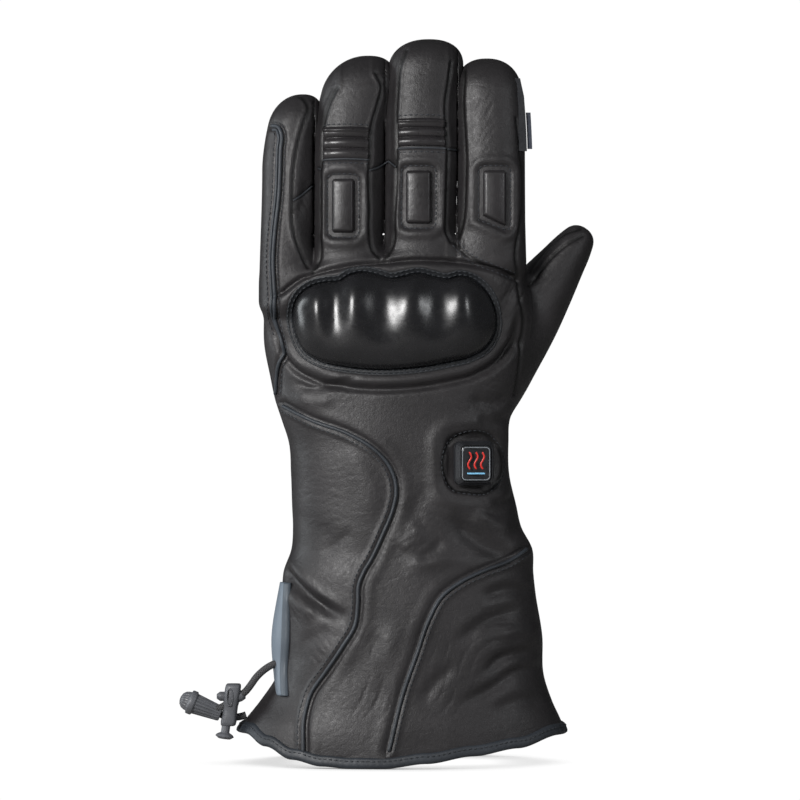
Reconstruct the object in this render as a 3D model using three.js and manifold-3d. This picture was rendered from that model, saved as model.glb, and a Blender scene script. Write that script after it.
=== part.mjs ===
// Heated gauntlet glove for the left hand, standing on the hem of its cuff.
// Millimetres, +Z up, the back of the hand faces -Y and the thumb points to +X.
import * as THREE from "three";
import { mergeVertices } from "three/addons/utils/BufferGeometryUtils.js";
import Module from "manifold-3d";

const wasm = await Module();
wasm.setup();

// Main sizes of the glove.
const cuffHeight = 135; // hem to the narrowest place of the wrist
const handHeight = 108; // wrist to the fork of index and middle finger
const middleReach = 95; // fork to the tip of the middle finger
const hemWidth = 150;
const hemDepth = 76;
const wristWidth = 102;
const wristDepth = 57;
const palmWidth = 122;
const fingerDepth = 28;
const thumbLength = 86;
const thumbWidth = 38;
const thumbDepth = 30;
const wall = 3; // padded leather with its lining
const hemLift = 14.5; // how far the hem's front corners rise off the table
const fingerGap = 1; // between neighbouring finger stalls
const seamGap = 0.3; // between any two pieces
const stallCut = 4; // from the highest fork to the seam where the stalls begin

// Trim sizes.
const bindingHeight = 5;
const bindingWall = 1.2;
const pipingWidth = 2.4;
const guardWidth = 95;
const guardHeight = 44;
const guardRise = 9; // how far the knuckle shell stands out of the leather
const knuckleDip = 2.4; // between one knuckle dome and the next
const rimWidth = 3.4;
const rimRise = 1.5;
const rollRise = 2.2; // padded roll of leather around the knuckle guard
const rollWidth = 5;
const padWidth = 11;
const padHeight = 25;
const padRise = 2.6;
const padCorner = 2.4;
const ribHeight = 2.6;
const ribPitch = 3.5;
const ribRise = 2.2;
const ribBase = 0.8; // thickness of the leather that joins the ribs
const ribCorner = 0.8;

// Heat control button.
const buttonWidth = 19;
const buttonHeight = 20.5;
const buttonRise = 5;
const buttonBevel = 2.4;
const buttonCorner = 3;
const buttonFace = 14.6;
const buttonFaceHeight = 16.6;
const buttonPlate = 2; // thickness of the plate that is pressed
const buttonProud = 0.6; // how far the plate stands out of its housing
const buttonTravel = 0.8;

// Rubber tab in the side seam, drawcord, cord lock and cord end.
const tabWidth = 12;
const tabHeight = 50;
const tabThickness = 2.2;
const cordDiameter = 3.4;
const lockWidth = 8;
const lockDepth = 11.6;
const lockHeight = 18.6;
const lockCorner = 1.6;
const lockChamfer = 1;
const plungerStem = 4;
const plungerCap = 8.8;
const plungerCapHeight = 3;
const plungerShow = 3.6; // stem seen between the lock and the cap
const plungerTravel = 2.5;
const plungerBore = 4.6; // depth of the lock's bore
const bellLength = 19;
const bellWidth = 11.2;

// Visor wiper on the outer side of the index finger.
const wiperHeight = 34;
const wiperDepth = 5;
const wiperRise = 2.4;
const wiperSunk = 2; // how far the strip reaches into the leather before it is cut off
const bladeHeight = 17;
const bladeRise = 2.2;
const bladeThickness = 1.6;
const bladeLow = 1; // the blade's lower end over the strip's

// How finely the curved walls are divided.
const bodySides = 28;
const fingerSides = 14;
const thumbSides = 12;
const guardSides = 30;
const liningShare = 0.65; // the inside is divided this much more coarsely
const ringStep = 12; // longest step between the cuff's and hand's rings
const meshTolerance = 0.03;
const shellTolerance = 0.2;

const forkTop = cuffHeight + handHeight;
const totalHeight = forkTop + middleReach;
const wristSeamShare = 0.21; // of the hand's height, where cuff and hand meet

// Cuff and hand, one row a section. cuff and hand: height as shares of cuffHeight and handHeight. flare and
// deep: how far width and depth go from wrist size to hem size. spread: how far width goes to the palm's.
// thin: how far the depth goes from the wrist's to the fingers'. lean and set: the middle's place across and
// in depth, as shares of palmWidth and wristDepth. square: exponent of the section's superellipse.
const bodySections = [
  { cuff: 0, hand: 0, flare: 1.17, deep: 1, spread: 0, thin: 0, lean: 0.021, set: 0, square: 2.2 },
  { cuff: 0.133, hand: 0, flare: 0.99, deep: 0.89, spread: 0, thin: 0, lean: 0.036, set: 0, square: 2.2 },
  { cuff: 0.21, hand: 0, flare: 0.73, deep: 0.76, spread: 0, thin: 0, lean: 0.05, set: 0.005, square: 2.25 },
  { cuff: 0.3, hand: 0, flare: 0.48, deep: 0.66, spread: 0, thin: 0, lean: 0.066, set: 0.005, square: 2.3 },
  { cuff: 0.44, hand: 0, flare: 0.42, deep: 0.55, spread: 0, thin: 0, lean: 0.071, set: 0.005, square: 2.4 },
  { cuff: 0.59, hand: 0, flare: 0.34, deep: 0.42, spread: 0, thin: 0, lean: 0.061, set: 0.01, square: 2.4 },
  { cuff: 0.66, hand: 0, flare: 0.31, deep: 0.34, spread: 0, thin: 0, lean: 0.059, set: 0.013, square: 2.4 },
  { cuff: 0.74, hand: 0, flare: 0.22, deep: 0.21, spread: 0, thin: 0, lean: 0.072, set: 0.016, square: 2.4 },
  { cuff: 0.815, hand: 0, flare: 0.1, deep: 0.13, spread: 0, thin: 0, lean: 0.054, set: 0.013, square: 2.4 },
  { cuff: 0.89, hand: 0, flare: 0.06, deep: 0.08, spread: 0, thin: 0, lean: 0.043, set: 0.013, square: 2.4 },
  { cuff: 1, hand: 0, flare: 0, deep: 0.02, spread: 0, thin: 0, lean: 0.027, set: 0.014, square: 2.4 },
  { cuff: 1, hand: 0.14, flare: 0, deep: 0, spread: 0.04, thin: 0, lean: 0.021, set: 0.018, square: 2.4 },
  { cuff: 1, hand: 0.23, flare: 0, deep: 0, spread: 0.22, thin: 0, lean: 0.011, set: 0.026, square: 2.4 },
  { cuff: 1, hand: 0.32, flare: 0, deep: 0, spread: 0.56, thin: 0, lean: 0.012, set: 0.035, square: 2.4 },
  { cuff: 1, hand: 0.42, flare: 0, deep: 0, spread: 0.85, thin: 0, lean: 0.017, set: 0.044, square: 2.4 },
  { cuff: 1, hand: 0.56, flare: 0, deep: 0, spread: 1.08, thin: 0.05, lean: 0.013, set: 0.04, square: 2.45 },
  { cuff: 1, hand: 0.7, flare: 0, deep: 0, spread: 1.08, thin: 0.17, lean: 0.012, set: 0.018, square: 2.5 },
  { cuff: 1, hand: 0.81, flare: 0, deep: 0, spread: 0.99, thin: 0.38, lean: 0.004, set: -0.018, square: 2.6 },
  { cuff: 1, hand: 0.91, flare: 0, deep: 0, spread: 0.97, thin: 0.76, lean: 0.001, set: -0.07, square: 2.7 },
  { cuff: 1, hand: 0.97, flare: 0, deep: 0, spread: 0.85, thin: 1.02, lean: 0, set: -0.114, square: 2.7 },
  { cuff: 1, hand: 1, flare: 0, deep: 0, spread: 0.6, thin: 1.5, lean: 0, set: -0.114, square: 2.5 },
];
const hemFade = 0.3; // share of cuffHeight over which the hem's rise dies out
const forkEase = 0.55; // share of handHeight from which the hand's top starts to slant

// The forks' line drops towards the little finger, by this share of palmWidth across the whole hand.
const forkDrop = 0.2;
const forkHigh = 0.22; // where the forks' line is at its named height, share of palmWidth

// Hem, one row a place along it. across: share of half the hem's width. front and back: how far the hem
// stands off the table there, as shares of hemLift.
const hemEdge = [
  { across: -1, front: 1, back: 1 },
  { across: -0.85, front: 0.64, back: 0.5 },
  { across: -0.667, front: 0.255, back: 0.1 },
  { across: -0.475, front: 0.06, back: 0 },
  { across: -0.3, front: 0, back: 0 },
  { across: -0.1, front: 0, back: 0 },
  { across: 0.17, front: 0.16, back: 0 },
  { across: 0.456, front: 0.386, back: 0.06 },
  { across: 0.74, front: 0.607, back: 0.35 },
  { across: 1, front: 0.95, back: 0.95 },
];
const hemTurn = 0.35; // sine of the angle over which the hem's front passes into its back

// Fingers. root, mid and tip: middle lines at the root, joint and tip as shares of palmWidth. base and span:
// widths at the root and joint, likewise. end: tip above the fork, share of middleReach. deep: share of
// fingerDepth.
const fingers = [
  { name: "little", root: -0.407, mid: -0.396, tip: -0.345, base: 0.203, span: 0.198, end: 0.73, deep: 0.9 },
  { name: "ring", root: -0.178, mid: -0.162, tip: -0.095, base: 0.244, span: 0.262, end: 0.92, deep: 0.96 },
  { name: "middle", root: 0.09, mid: 0.11, tip: 0.138, base: 0.25, span: 0.276, end: 1, deep: 1 },
  { name: "index", root: 0.365, mid: 0.377, tip: 0.36, base: 0.27, span: 0.25, end: 0.905, deep: 1 },
];
const fingerRootDip = 0.16; // how deep the finger walls start below the forks, share of handHeight
const jointShare = 0.5; // where along a finger its middle joint lies
const fingerSet = -0.115; // finger roots' place in depth, share of wristDepth
const fingerCurl = 0.19; // how far the tips bend to the palm, share of wristDepth
const fingerSquare = 2.35; // exponent of a finger's section
const fingerTaper = 0.06; // how much narrower its tip is than its joint
const leanPower = 1.8; // the higher, the nearer its tip a finger starts to lean
const capShare = 0.62; // height of its rounded end, share of its width
const capSquare = 2.3; // exponent of that end's outline
const shaftLevels = [0, 0.25, 0.5, 0.75, 1]; // shares of the way from a finger's root to its rounded end
const capLevels = [0.35, 0.62, 0.82, 0.94, 0.995]; // shares of the rounded end's height

// Thumb, one row a section. along: share of thumbLength. width and depth: shares of the thumb's sizes.
const thumbSections = [
  { along: 0, width: 0.95, depth: 0.9 },
  { along: 0.2, width: 1, depth: 1 },
  { along: 0.4, width: 0.92, depth: 1 },
  { along: 0.6, width: 0.76, depth: 0.96 },
  { along: 0.78, width: 0.59, depth: 0.9 },
  { along: 0.9, width: 0.47, depth: 0.8 },
  { along: 0.97, width: 0.36, depth: 0.62 },
  { along: 1, width: 0.2, depth: 0.34 },
];
const thumbRoot = { across: 0.34, deep: 0.16, up: 0.41 }; // shares of palmWidth, wristDepth and handHeight
const thumbRise = THREE.MathUtils.degToRad(55);
const thumbBack = 0.13; // how much the thumb leans to the palm side
const thumbSeam = 0.42; // where its own stall begins, share of thumbLength
const thumbSquare = 2.2; // exponent of its section
const thumbGrowth = 0.8; // how much of an offset its sections move along it
const besideHand = { across: 0.36, deep: -0.5, up: 1.3 }; // shares of palmWidth, wristDepth and handHeight

// Dents of the leather on the back of the glove, one row each. x0, x1 and wide: shares of palmWidth. z0 and
// z1: shares of cuffHeight. sink: depth as a share of wall, less than 0 for a ridge.
const folds = [
  { name: "left ledge", x0: -0.5, z0: 0.745, x1: -0.3, z1: 0.62, sink: 1.0, wide: 0.035 },
  { name: "left ledge end", x0: -0.3, z0: 0.62, x1: -0.17, z1: 0.54, sink: 0.6, wide: 0.03 },
  { name: "left bulge", x0: -0.52, z0: 0.66, x1: -0.42, z1: 0.55, sink: -0.5, wide: 0.05 },
  { name: "right tuck", x0: 0.22, z0: 0.86, x1: 0.56, z1: 0.79, sink: 0.8, wide: 0.04 },
  { name: "right pleat", x0: 0.3, z0: 0.93, x1: 0.5, z1: 0.95, sink: 0.5, wide: 0.03 },
  { name: "right cuff fold", x0: 0.4, z0: 0.42, x1: 0.6, z1: 0.46, sink: 0.6, wide: 0.035 },
  { name: "right cuff crease", x0: 0.42, z0: 0.24, x1: 0.62, z1: 0.3, sink: 0.6, wide: 0.035 },
];
const guardCrease = 1.1; // depth of the crease under the guard's roll, share of wall
const foldsFrom = -0.1; // sines of the angles between which the folds set in, around the glove
const foldsFull = 0.35;

// Knuckle guard. Place: across as a share of palmWidth, up as a share of handHeight above the wrist.
const guardPlace = { across: 0.005, up: 0.666 };
const guardSquare = 2.8; // exponent of its outline
const guardShares = [0.25, 0.5, 0.72, 0.9, 1]; // its rings, as shares of the way from its middle to its edge
const domeSquare = 2.6; // exponent of its rise from the edge
const knuckles = 4;
const scallop = 0.028; // how deep its upper edge dips between two knuckles, share of guardHeight
const scallopFrom = 0.25; // sine of the angle above which the edge is scalloped

// Padded panels on the fingers: side, share of the finger's width from its middle; up, above the fork as a
// share of middleReach; wide, share of the finger's width.
const padPlaces = [
  { finger: "ring", side: -0.1, up: 0.18 },
  { finger: "middle", side: -0.03, up: 0.22 },
  { finger: "index", side: 0.04, up: 0.2 },
];
const ribPlaces = [
  { finger: "ring", side: -0.12, up: 0.47, wide: 0.74 },
  { finger: "middle", side: -0.09, up: 0.525, wide: 0.72 },
];
const ribSteps = [-1, 0, 1]; // places of the three ribs, in steps of ribPitch

// Heat button: across as a share of palmWidth, up as a share of handHeight above the wrist.
const buttonPlace = { across: 0.3, up: 0.055 };
const buttonTurn = THREE.MathUtils.degToRad(20);
const bevelSpread = 1.2; // how much narrower the housing is in front, in bevels
const cornerShrink = 0.7; // corners of the face, share of the housing's

// Piping, one row a point: across as shares of palmWidth, up as shares of cuffHeight.
const leftPiping = [
  { across: -0.42, up: 1.238 },
  { across: -0.305, up: 1.185 },
  { across: -0.165, up: 1.135 },
  { across: -0.075, up: 1.085 },
  { across: -0.018, up: 1.035 },
  { across: 0.008, up: 0.975 },
  { across: 0.003, up: 0.885 },
  { across: -0.03, up: 0.81 },
  { across: -0.095, up: 0.69 },
  { across: -0.128, up: 0.62 },
  { across: -0.13, up: 0.55 },
  { across: -0.15, up: 0.47 },
  { across: -0.22, up: 0.35 },
  { across: -0.31, up: 0.24 },
  { across: -0.335, up: 0.16 },
  { across: -0.338, up: 0.07 },
];
const rightPiping = [
  { across: 0.5, up: 0.742 },
  { across: 0.445, up: 0.705 },
  { across: 0.345, up: 0.675 },
  { across: 0.255, up: 0.635 },
  { across: 0.185, up: 0.58 },
  { across: 0.138, up: 0.51 },
  { across: 0.092, up: 0.4 },
  { across: 0.042, up: 0.27 },
  { across: 0.005, up: 0.15 },
  { across: -0.013, up: 0.078 },
];
// The welt on the little finger's side: across as shares of palmWidth, up as shares of handHeight.
const sidePiping = [
  { across: -0.435, up: 1.36 },
  { across: -0.44, up: 1.25 },
  { across: -0.447, up: 1.1 },
  { across: -0.455, up: 1.0 },
  { across: -0.46, up: 0.88 },
  { across: -0.45, up: 0.76 },
  { across: -0.43, up: 0.6 },
  { across: -0.438, up: 0.47 },
  { across: -0.452, up: 0.4 },
];
const pipingSides = 5;
const pipingStand = 0.7; // how far the piping's middle stands out of the leather, share of its radius

// Side tab: where it stands, as a share of cuffHeight, and its section.
const tabUp = 0.27;
const tabTurn = THREE.MathUtils.degToRad(48);
const tabFlat = 0.86; // width of its flat face, share of tabWidth
const tabEdge = 0.8; // thickness at its edges, share of tabThickness
const tabSteps = 8;
const tabScan = 90; // angles that are tried for the outermost place of the cuff

// The drawcord's two strands, chosen by hand: from the side seam and from the hem's corner to the cord end.
const upperStrand = [
  [-57.6, -9.5, 45.4],
  [-60.6, -9.8, 43.6],
  [-63.6, -10.2, 40.6],
  [-66.2, -10.6, 37],
  [-68.8, -11, 33.8],
  [-72.4, -11.4, 31.2],
  [-76.6, -11.8, 28.6],
  [-80.4, -12, 26.4],
  [-84.6, -12.1, 25.4],
  [-90, -12.2, 27],
  [-97.4, -12.2, 29.8],
];
const lowerStrand = [
  [-68.6, -6.5, 22.6],
  [-71.4, -6.8, 21.8],
  [-74.4, -7, 21.6],
  [-77.6, -7.1, 22],
  [-81, -7.6, 23.2],
  [-84.8, -8.3, 25.1],
  [-90, -8.6, 27],
  [-97.4, -8.6, 29.8],
];
const cordSides = 8;
const cordSteps = 16;

// Cord lock: place of its middle and its tilt. The bore's place is given as shares of its width and depth.
const lockPlace = [-75.6, -9.6, 27.6];
const lockTilt = THREE.MathUtils.degToRad(8);
const boreShift = { across: -0.1, deep: -0.225 };
const lockFoot = 0.86; // its lower end, share of its width and depth
const lockHead = 0.9; // its upper end, likewise

// Plunger, one row a section. up: share of the cap's height. radius: share of the cap's width.
const plungerSections = [
  { up: 0, radius: 0.32 },
  { up: 0.38, radius: 0.5 },
  { up: 0.7, radius: 0.42 },
];

// Cord end, one row a section. up: share of bellLength. wide and high: shares of bellWidth.
const bellPlace = [-82.6, -10.3, 23.6];
const bellTilt = THREE.MathUtils.degToRad(22);
const bellSections = [
  { up: 0, wide: 0.893, high: 0.679 },
  { up: 0.62, wide: 0.946, high: 0.904 },
  { up: 0.74, wide: 1, high: 1 },
  { up: 0.84, wide: 1, high: 1 },
  { up: 0.95, wide: 0.84, high: 0.84 },
  { up: 1, wide: 0.4, high: 0.4 },
];
const bellSides = 12;

const wiperTop = 0.1; // the strip's upper end below the index finger's tip, share of middleReach
const wiperAngle = -0.12 * Math.PI; // where the strip runs round the finger
const wiperLevels = [0, 0.25, 0.5, 0.75, 1];

const mix = THREE.MathUtils.lerp;

// Values of a table's columns at a place between two rows, smooth from row to row.
function sample(rows, key, place) {
  let i = 0;
  while (i < rows.length - 2 && place > rows[i + 1][key]) i++;
  const before = rows[Math.max(i - 1, 0)];
  const start = rows[i];
  const end = rows[i + 1];
  const after = rows[Math.min(i + 2, rows.length - 1)];
  const span = end[key] - start[key];
  const t = THREE.MathUtils.clamp((place - start[key]) / span, 0, 1);
  const t2 = t * t;
  const t3 = t2 * t;
  const found = {};
  for (const column of Object.keys(start)) {
    const rate = (a, b) => ((b[column] - a[column]) / Math.max(b[key] - a[key], 1e-6)) * span;
    found[column] =
      (2 * t3 - 3 * t2 + 1) * start[column] + (t3 - 2 * t2 + t) * rate(before, end) +
      (3 * t2 - 2 * t3) * end[column] + (t3 - t2) * rate(start, after);
  }
  return found;
}

const bodyRows = bodySections.map((row) => {
  const flareWidth = row.flare * (hemWidth - wristWidth);
  const flareDepth = row.deep * (hemDepth - wristDepth);
  return {
    z: row.cuff * cuffHeight + row.hand * handHeight,
    halfWidth: (wristWidth + flareWidth + row.spread * (palmWidth - wristWidth)) / 2,
    halfDepth: (wristDepth + flareDepth - row.thin * (wristDepth - fingerDepth)) / 2,
    x: row.lean * palmWidth,
    y: row.set * wristDepth,
    square: row.square,
  };
});
const bodyAt = (z) => sample(bodyRows, "z", z);

const fingerRows = fingers.map((finger) => {
  const forkZ = forkTop + forkDrop * (finger.root - forkHigh) * palmWidth;
  const tipZ = forkTop + finger.end * middleReach;
  const capHeight = (finger.span * palmWidth - fingerGap) * capShare;
  const rootZ = forkZ - fingerRootDip * handHeight;
  return { ...finger, rootZ, jointZ: mix(forkTop, tipZ, jointShare), tipZ, capHeight };
});
const fingerNamed = (name) => fingerRows.find((finger) => finger.name === name);

// A finger's section at a height: its sides stand straight up to the cap, which is rounded off.
function fingerAt(finger, z, offset) {
  const { rootZ, jointZ } = finger;
  const tipZ = finger.tipZ + offset;
  const low = THREE.MathUtils.smoothstep(z, rootZ, jointZ);
  const high = THREE.MathUtils.clamp((z - jointZ) / (tipZ - jointZ), 0, 1);
  const width = mix(finger.base, finger.span, low) * palmWidth - fingerGap;
  const capHeight = width * capShare;
  const cap = THREE.MathUtils.clamp((z - tipZ + capHeight) / capHeight, 0, 1);
  const round = Math.pow(Math.max(1 - Math.pow(cap, capSquare), 0), 1 / capSquare);
  const taper = 1 - fingerTaper * high;
  const lean = (finger.tip - finger.mid) * Math.pow(high, leanPower);
  const curl = fingerCurl * Math.pow((z - rootZ) / (tipZ - rootZ), 2);
  return {
    x: (mix(finger.root, finger.mid, low) + lean) * palmWidth,
    y: (fingerSet + curl) * wristDepth,
    halfWidth: ((width / 2) * taper + offset) * round,
    halfDepth: (((finger.deep * fingerDepth) / 2) * taper + offset) * round,
    square: fingerSquare,
  };
}

// Where on a superellipse an angle falls.
function onOval(halfWidth, halfDepth, square, angle) {
  const c = Math.cos(angle);
  const s = Math.sin(angle);
  return [
    halfWidth * Math.sign(c) * Math.pow(Math.abs(c), 2 / square),
    halfDepth * Math.sign(s) * Math.pow(Math.abs(s), 2 / square),
  ];
}

// Where on a section's edge an angle falls.
function onSection(section, angle, offset) {
  const [x, y] = onOval(section.halfWidth + offset, section.halfDepth + offset, section.square, angle);
  return [section.x + x, section.y + y];
}

const guardCentre = [guardPlace.across * palmWidth, cuffHeight + guardPlace.up * handHeight];

// Distance outside the guard's rounded outline, roughly, in millimetres, less than 0 inside.
function outsideGuard(x, z) {
  const across = Math.abs(x - guardCentre[0]) / (guardWidth / 2);
  const up = Math.abs(z - guardCentre[1]) / (guardHeight / 2);
  const reach = Math.pow(Math.pow(across, guardSquare) + Math.pow(up, guardSquare), 1 / guardSquare);
  return ((reach - 1) * guardHeight) / 2;
}

// How far the leather of the back sinks at a place, from the folds, the guard's roll and its crease.
function sinkAt(x, z) {
  let sink = 0;
  for (const fold of folds) {
    const start = new THREE.Vector2(fold.x0 * palmWidth, fold.z0 * cuffHeight);
    const along = new THREE.Vector2(fold.x1 * palmWidth, fold.z1 * cuffHeight).sub(start);
    const from = new THREE.Vector2(x, z).sub(start);
    const t = THREE.MathUtils.clamp(from.dot(along) / along.lengthSq(), 0, 1);
    const away = from.sub(along.multiplyScalar(t)).length();
    sink += fold.sink * wall * Math.exp(-Math.pow(away / (fold.wide * palmWidth), 2));
  }
  const outside = outsideGuard(x, z);
  const roll = Math.exp(-Math.pow((outside - rimWidth - rollWidth / 2) / rollWidth, 2));
  sink -= rollRise * roll;
  if (z < guardCentre[1]) {
    const crease = Math.exp(-Math.pow((outside - rimWidth - 2 * rollWidth) / rollWidth, 2));
    sink += guardCrease * wall * crease;
  }
  return sink;
}

function solidFrom(points, faces) {
  return new wasm.Manifold(
    new wasm.Mesh({
      numProp: 3,
      vertProperties: new Float32Array(points.flat()),
      triVerts: new Uint32Array(faces.flat()),
    }),
  );
}

// A closed solid through rings with the same number of points each, run upwards, anticlockwise from above.
function loft(rings) {
  const around = rings[0].length;
  const points = rings.flat();
  const low = points.length;
  const middle = (ring) => [0, 1, 2].map((k) => ring.reduce((sum, p) => sum + p[k], 0) / ring.length);
  points.push(middle(rings[0]), middle(rings.at(-1)));
  const faces = [];
  for (let i = 0; i < around; i++) {
    const j = (i + 1) % around;
    for (let r = 0; r < rings.length - 1; r++) {
      const a = r * around;
      const b = a + around;
      faces.push([a + i, a + j, b + j], [a + i, b + j, b + i]);
    }
    const top = (rings.length - 1) * around;
    faces.push([low, j, i], [low + 1, top + i, top + j]);
  }
  return solidFrom(points, faces);
}

function solidOf(geometry) {
  const bare = geometry.clone();
  bare.deleteAttribute("normal");
  bare.deleteAttribute("uv");
  const merged = mergeVertices(bare, 1e-4);
  return new wasm.Manifold(
    new wasm.Mesh({
      numProp: 3,
      vertProperties: merged.attributes.position.array,
      triVerts: new Uint32Array(merged.index.array),
    }),
  );
}

function geometryOf(solid, tolerance = meshTolerance) {
  const mesh = solid.simplify(tolerance).getMesh();
  const geometry = new THREE.BufferGeometry();
  geometry.setAttribute("position", new THREE.BufferAttribute(new Float32Array(mesh.vertProperties), 3));
  geometry.setIndex(new THREE.BufferAttribute(new Uint32Array(mesh.triVerts), 1));
  const flat = geometry.toNonIndexed();
  flat.computeVertexNormals();
  return flat;
}

function boxSolid(low, high) {
  const box = new THREE.BoxGeometry(...high.map((value, k) => value - low[k]));
  box.translate(...high.map((value, k) => (value + low[k]) / 2));
  return solidOf(box);
}

// Height of the hem above the table.
function hemAt(x, side) {
  const across = THREE.MathUtils.clamp(x / (hemWidth / 2), -1, 1);
  let i = 0;
  while (i < hemEdge.length - 2 && across > hemEdge[i + 1].across) i++;
  const start = hemEdge[i];
  const end = hemEdge[i + 1];
  const t = (across - start.across) / (end.across - start.across);
  const ease = t * t * (3 - 2 * t);
  const back = mix(start.back, end.back, ease);
  const front = mix(start.front, end.front, ease);
  return mix(front, back, THREE.MathUtils.smoothstep(side, -hemTurn, hemTurn)) * hemLift;
}

// A point of the cuff and hand at a height and angle. The fold field moves only the back of the hand.
function bodyPoint(z, angle, offset) {
  const [x, y] = onSection(bodyAt(z), angle, offset);
  const front = THREE.MathUtils.smoothstep(-Math.sin(angle), foldsFrom, foldsFull);
  const sink = front * sinkAt(x, z);
  return [x - Math.cos(angle) * sink, y - Math.sin(angle) * sink];
}

const angles = (count) => Array.from({ length: count }, (_, i) => (i / count) * 2 * Math.PI);
const sides = (count, offset) => angles(offset < 0 ? Math.round(count * liningShare) : count);

// Heights of the cuff's and hand's rings, with one more wherever two rows lie far apart.
function ringLevels(longest) {
  const levels = [];
  for (const { z } of bodyRows) {
    const last = levels.at(-1);
    if (levels.length && z - last > longest) levels.push((z + last) / 2);
    levels.push(z);
  }
  return levels;
}

// Cuff and hand up to the forks, grown by an offset, from a hem raised by lift.
function bodySolid(offset, lift) {
  const top = forkTop + offset;
  const rings = ringLevels(offset < 0 ? 2 * ringStep : ringStep).map((level) => {
    const near = THREE.MathUtils.smoothstep(level, cuffHeight + forkEase * handHeight, forkTop);
    const section = bodyAt(level);
    return sides(bodySides, offset).map((angle) => {
      const flat = onSection(section, angle, 0);
      const rise = hemAt(flat[0] - section.x, Math.sin(angle)) + lift;
      const hem = rise * Math.max(1 - level / (hemFade * cuffHeight), 0);
      const drop = near * forkDrop * (flat[0] - forkHigh * palmWidth);
      const [x, y] = bodyPoint(Math.min(level + hem, forkTop), angle, offset);
      return [x, y, Math.min(level + near * offset + hem, top) + drop];
    });
  });
  return loft(rings);
}

function fingerSolid(finger, offset) {
  const tipZ = finger.tipZ + offset;
  const shaft = shaftLevels.map((t) => mix(finger.rootZ, tipZ - finger.capHeight, t));
  const cap = capLevels.map((t) => tipZ - finger.capHeight * (1 - t));
  const rings = [...shaft, ...cap].map((z) => {
    const section = fingerAt(finger, z, offset);
    return sides(fingerSides, offset).map((angle) => [...onSection(section, angle, 0), z]);
  });
  return loft(rings);
}

const thumbFlat = Math.cos(Math.asin(thumbBack));
const thumbAxis = new THREE.Vector3(
  Math.cos(thumbRise) * thumbFlat,
  thumbBack,
  Math.sin(thumbRise) * thumbFlat,
);
const thumbStart = new THREE.Vector3(
  thumbRoot.across * palmWidth,
  thumbRoot.deep * wristDepth,
  cuffHeight + thumbRoot.up * handHeight,
);
const thumbAcross = new THREE.Vector3(Math.sin(thumbRise), 0, -Math.cos(thumbRise));
const thumbThrough = new THREE.Vector3().crossVectors(thumbAxis, thumbAcross).normalize();

function thumbSolid(offset) {
  const rings = thumbSections.map((row, i) => {
    const growth = i === thumbSections.length - 1 ? offset : offset * row.along * thumbGrowth;
    const middle = thumbStart.clone().addScaledVector(thumbAxis, row.along * thumbLength + growth);
    const halfWidth = (row.width * thumbWidth) / 2 + offset;
    const halfDepth = (row.depth * thumbDepth) / 2 + offset;
    return sides(thumbSides, offset).map((angle) => {
      const [u, v] = onOval(halfWidth, halfDepth, thumbSquare, angle);
      return middle.clone().addScaledVector(thumbAcross, u).addScaledVector(thumbThrough, v).toArray();
    });
  });
  return loft(rings);
}

// Cuff, hand and fingers without the thumb, filled, grown by an offset.
function handForm(offset, lift) {
  return fingerRows.reduce((form, finger) => form.add(fingerSolid(finger, offset)), bodySolid(offset, lift));
}

// The whole glove as one filled form, grown by an offset.
function gloveForm(offset, lift) {
  return handForm(offset, lift).add(thumbSolid(offset));
}

const hemClear = bindingWall + seamGap;
const outerForm = gloveForm(0, hemClear);
const innerForm = gloveForm(-wall, hemClear - 3 * wall);
const clearForm = gloveForm(seamGap, 0);
const leather = outerForm.subtract(innerForm);

// Front of the leather at a place on the back of the hand.
function frontY(x, z) {
  const sections = [];
  if (z < forkTop) sections.push(bodyAt(z));
  for (const finger of fingerRows) {
    if (z > finger.rootZ && z < finger.tipZ) sections.push(fingerAt(finger, z, 0));
  }
  const fronts = sections.map((section) => {
    const share = Math.abs(x - section.x) / section.halfWidth;
    const depth = Math.pow(Math.max(1 - Math.pow(share, section.square), 0), 1 / section.square);
    return share < 1 ? section.y - section.halfDepth * depth : Infinity;
  });
  return Math.min(...fronts) + (z < forkTop ? sinkAt(x, z) : 0);
}

const materials = {
  leather: { color: 0x2b292a, roughness: 0.55, metalness: 0 },
  hardShell: { color: 0x0b0b0d, roughness: 0.12, metalness: 0 },
  binding: { color: 0x343a42, roughness: 0.75, metalness: 0 },
  rubber: { color: 0x6b7885, roughness: 0.6, metalness: 0 },
  plastic: { color: 0x2c2e33, roughness: 0.45, metalness: 0 },
  face: { color: 0x1c1d22, roughness: 0.3, metalness: 0 },
  cord: { color: 0x1d1e20, roughness: 0.9, metalness: 0 },
  blade: { color: 0xb9c1c8, roughness: 0.4, metalness: 0 },
};

const glove = new THREE.Group();

function addMesh(name, geometry, look, parent = glove) {
  const mesh = new THREE.Mesh(geometry, new THREE.MeshStandardMaterial(materials[look]));
  mesh.name = name;
  parent.add(mesh);
}

// Leather: the cuff and hand, four finger stalls and the thumb, parted along planes.
const far = 2 * totalHeight;
const wristSeam = cuffHeight + wristSeamShare * handHeight;
const stallSeam = forkTop + stallCut;

function slab(low, high) {
  return boxSolid([-far, -far, low], [far, far, high]);
}

function largest(solid) {
  return solid.decompose().sort((a, b) => b.volume() - a.volume())[0];
}

// Everything beyond the plane across the thumb where its stall begins.
function pastThumbSeam(gap) {
  const block = new THREE.BoxGeometry(far, far, far);
  block.translate(0, 0, far / 2 + gap);
  const turn = new THREE.Matrix4().makeBasis(thumbAcross, thumbThrough, thumbAxis);
  const place = thumbStart.clone().addScaledVector(thumbAxis, thumbSeam * thumbLength);
  block.applyMatrix4(turn.setPosition(place));
  return solidOf(block);
}

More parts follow.
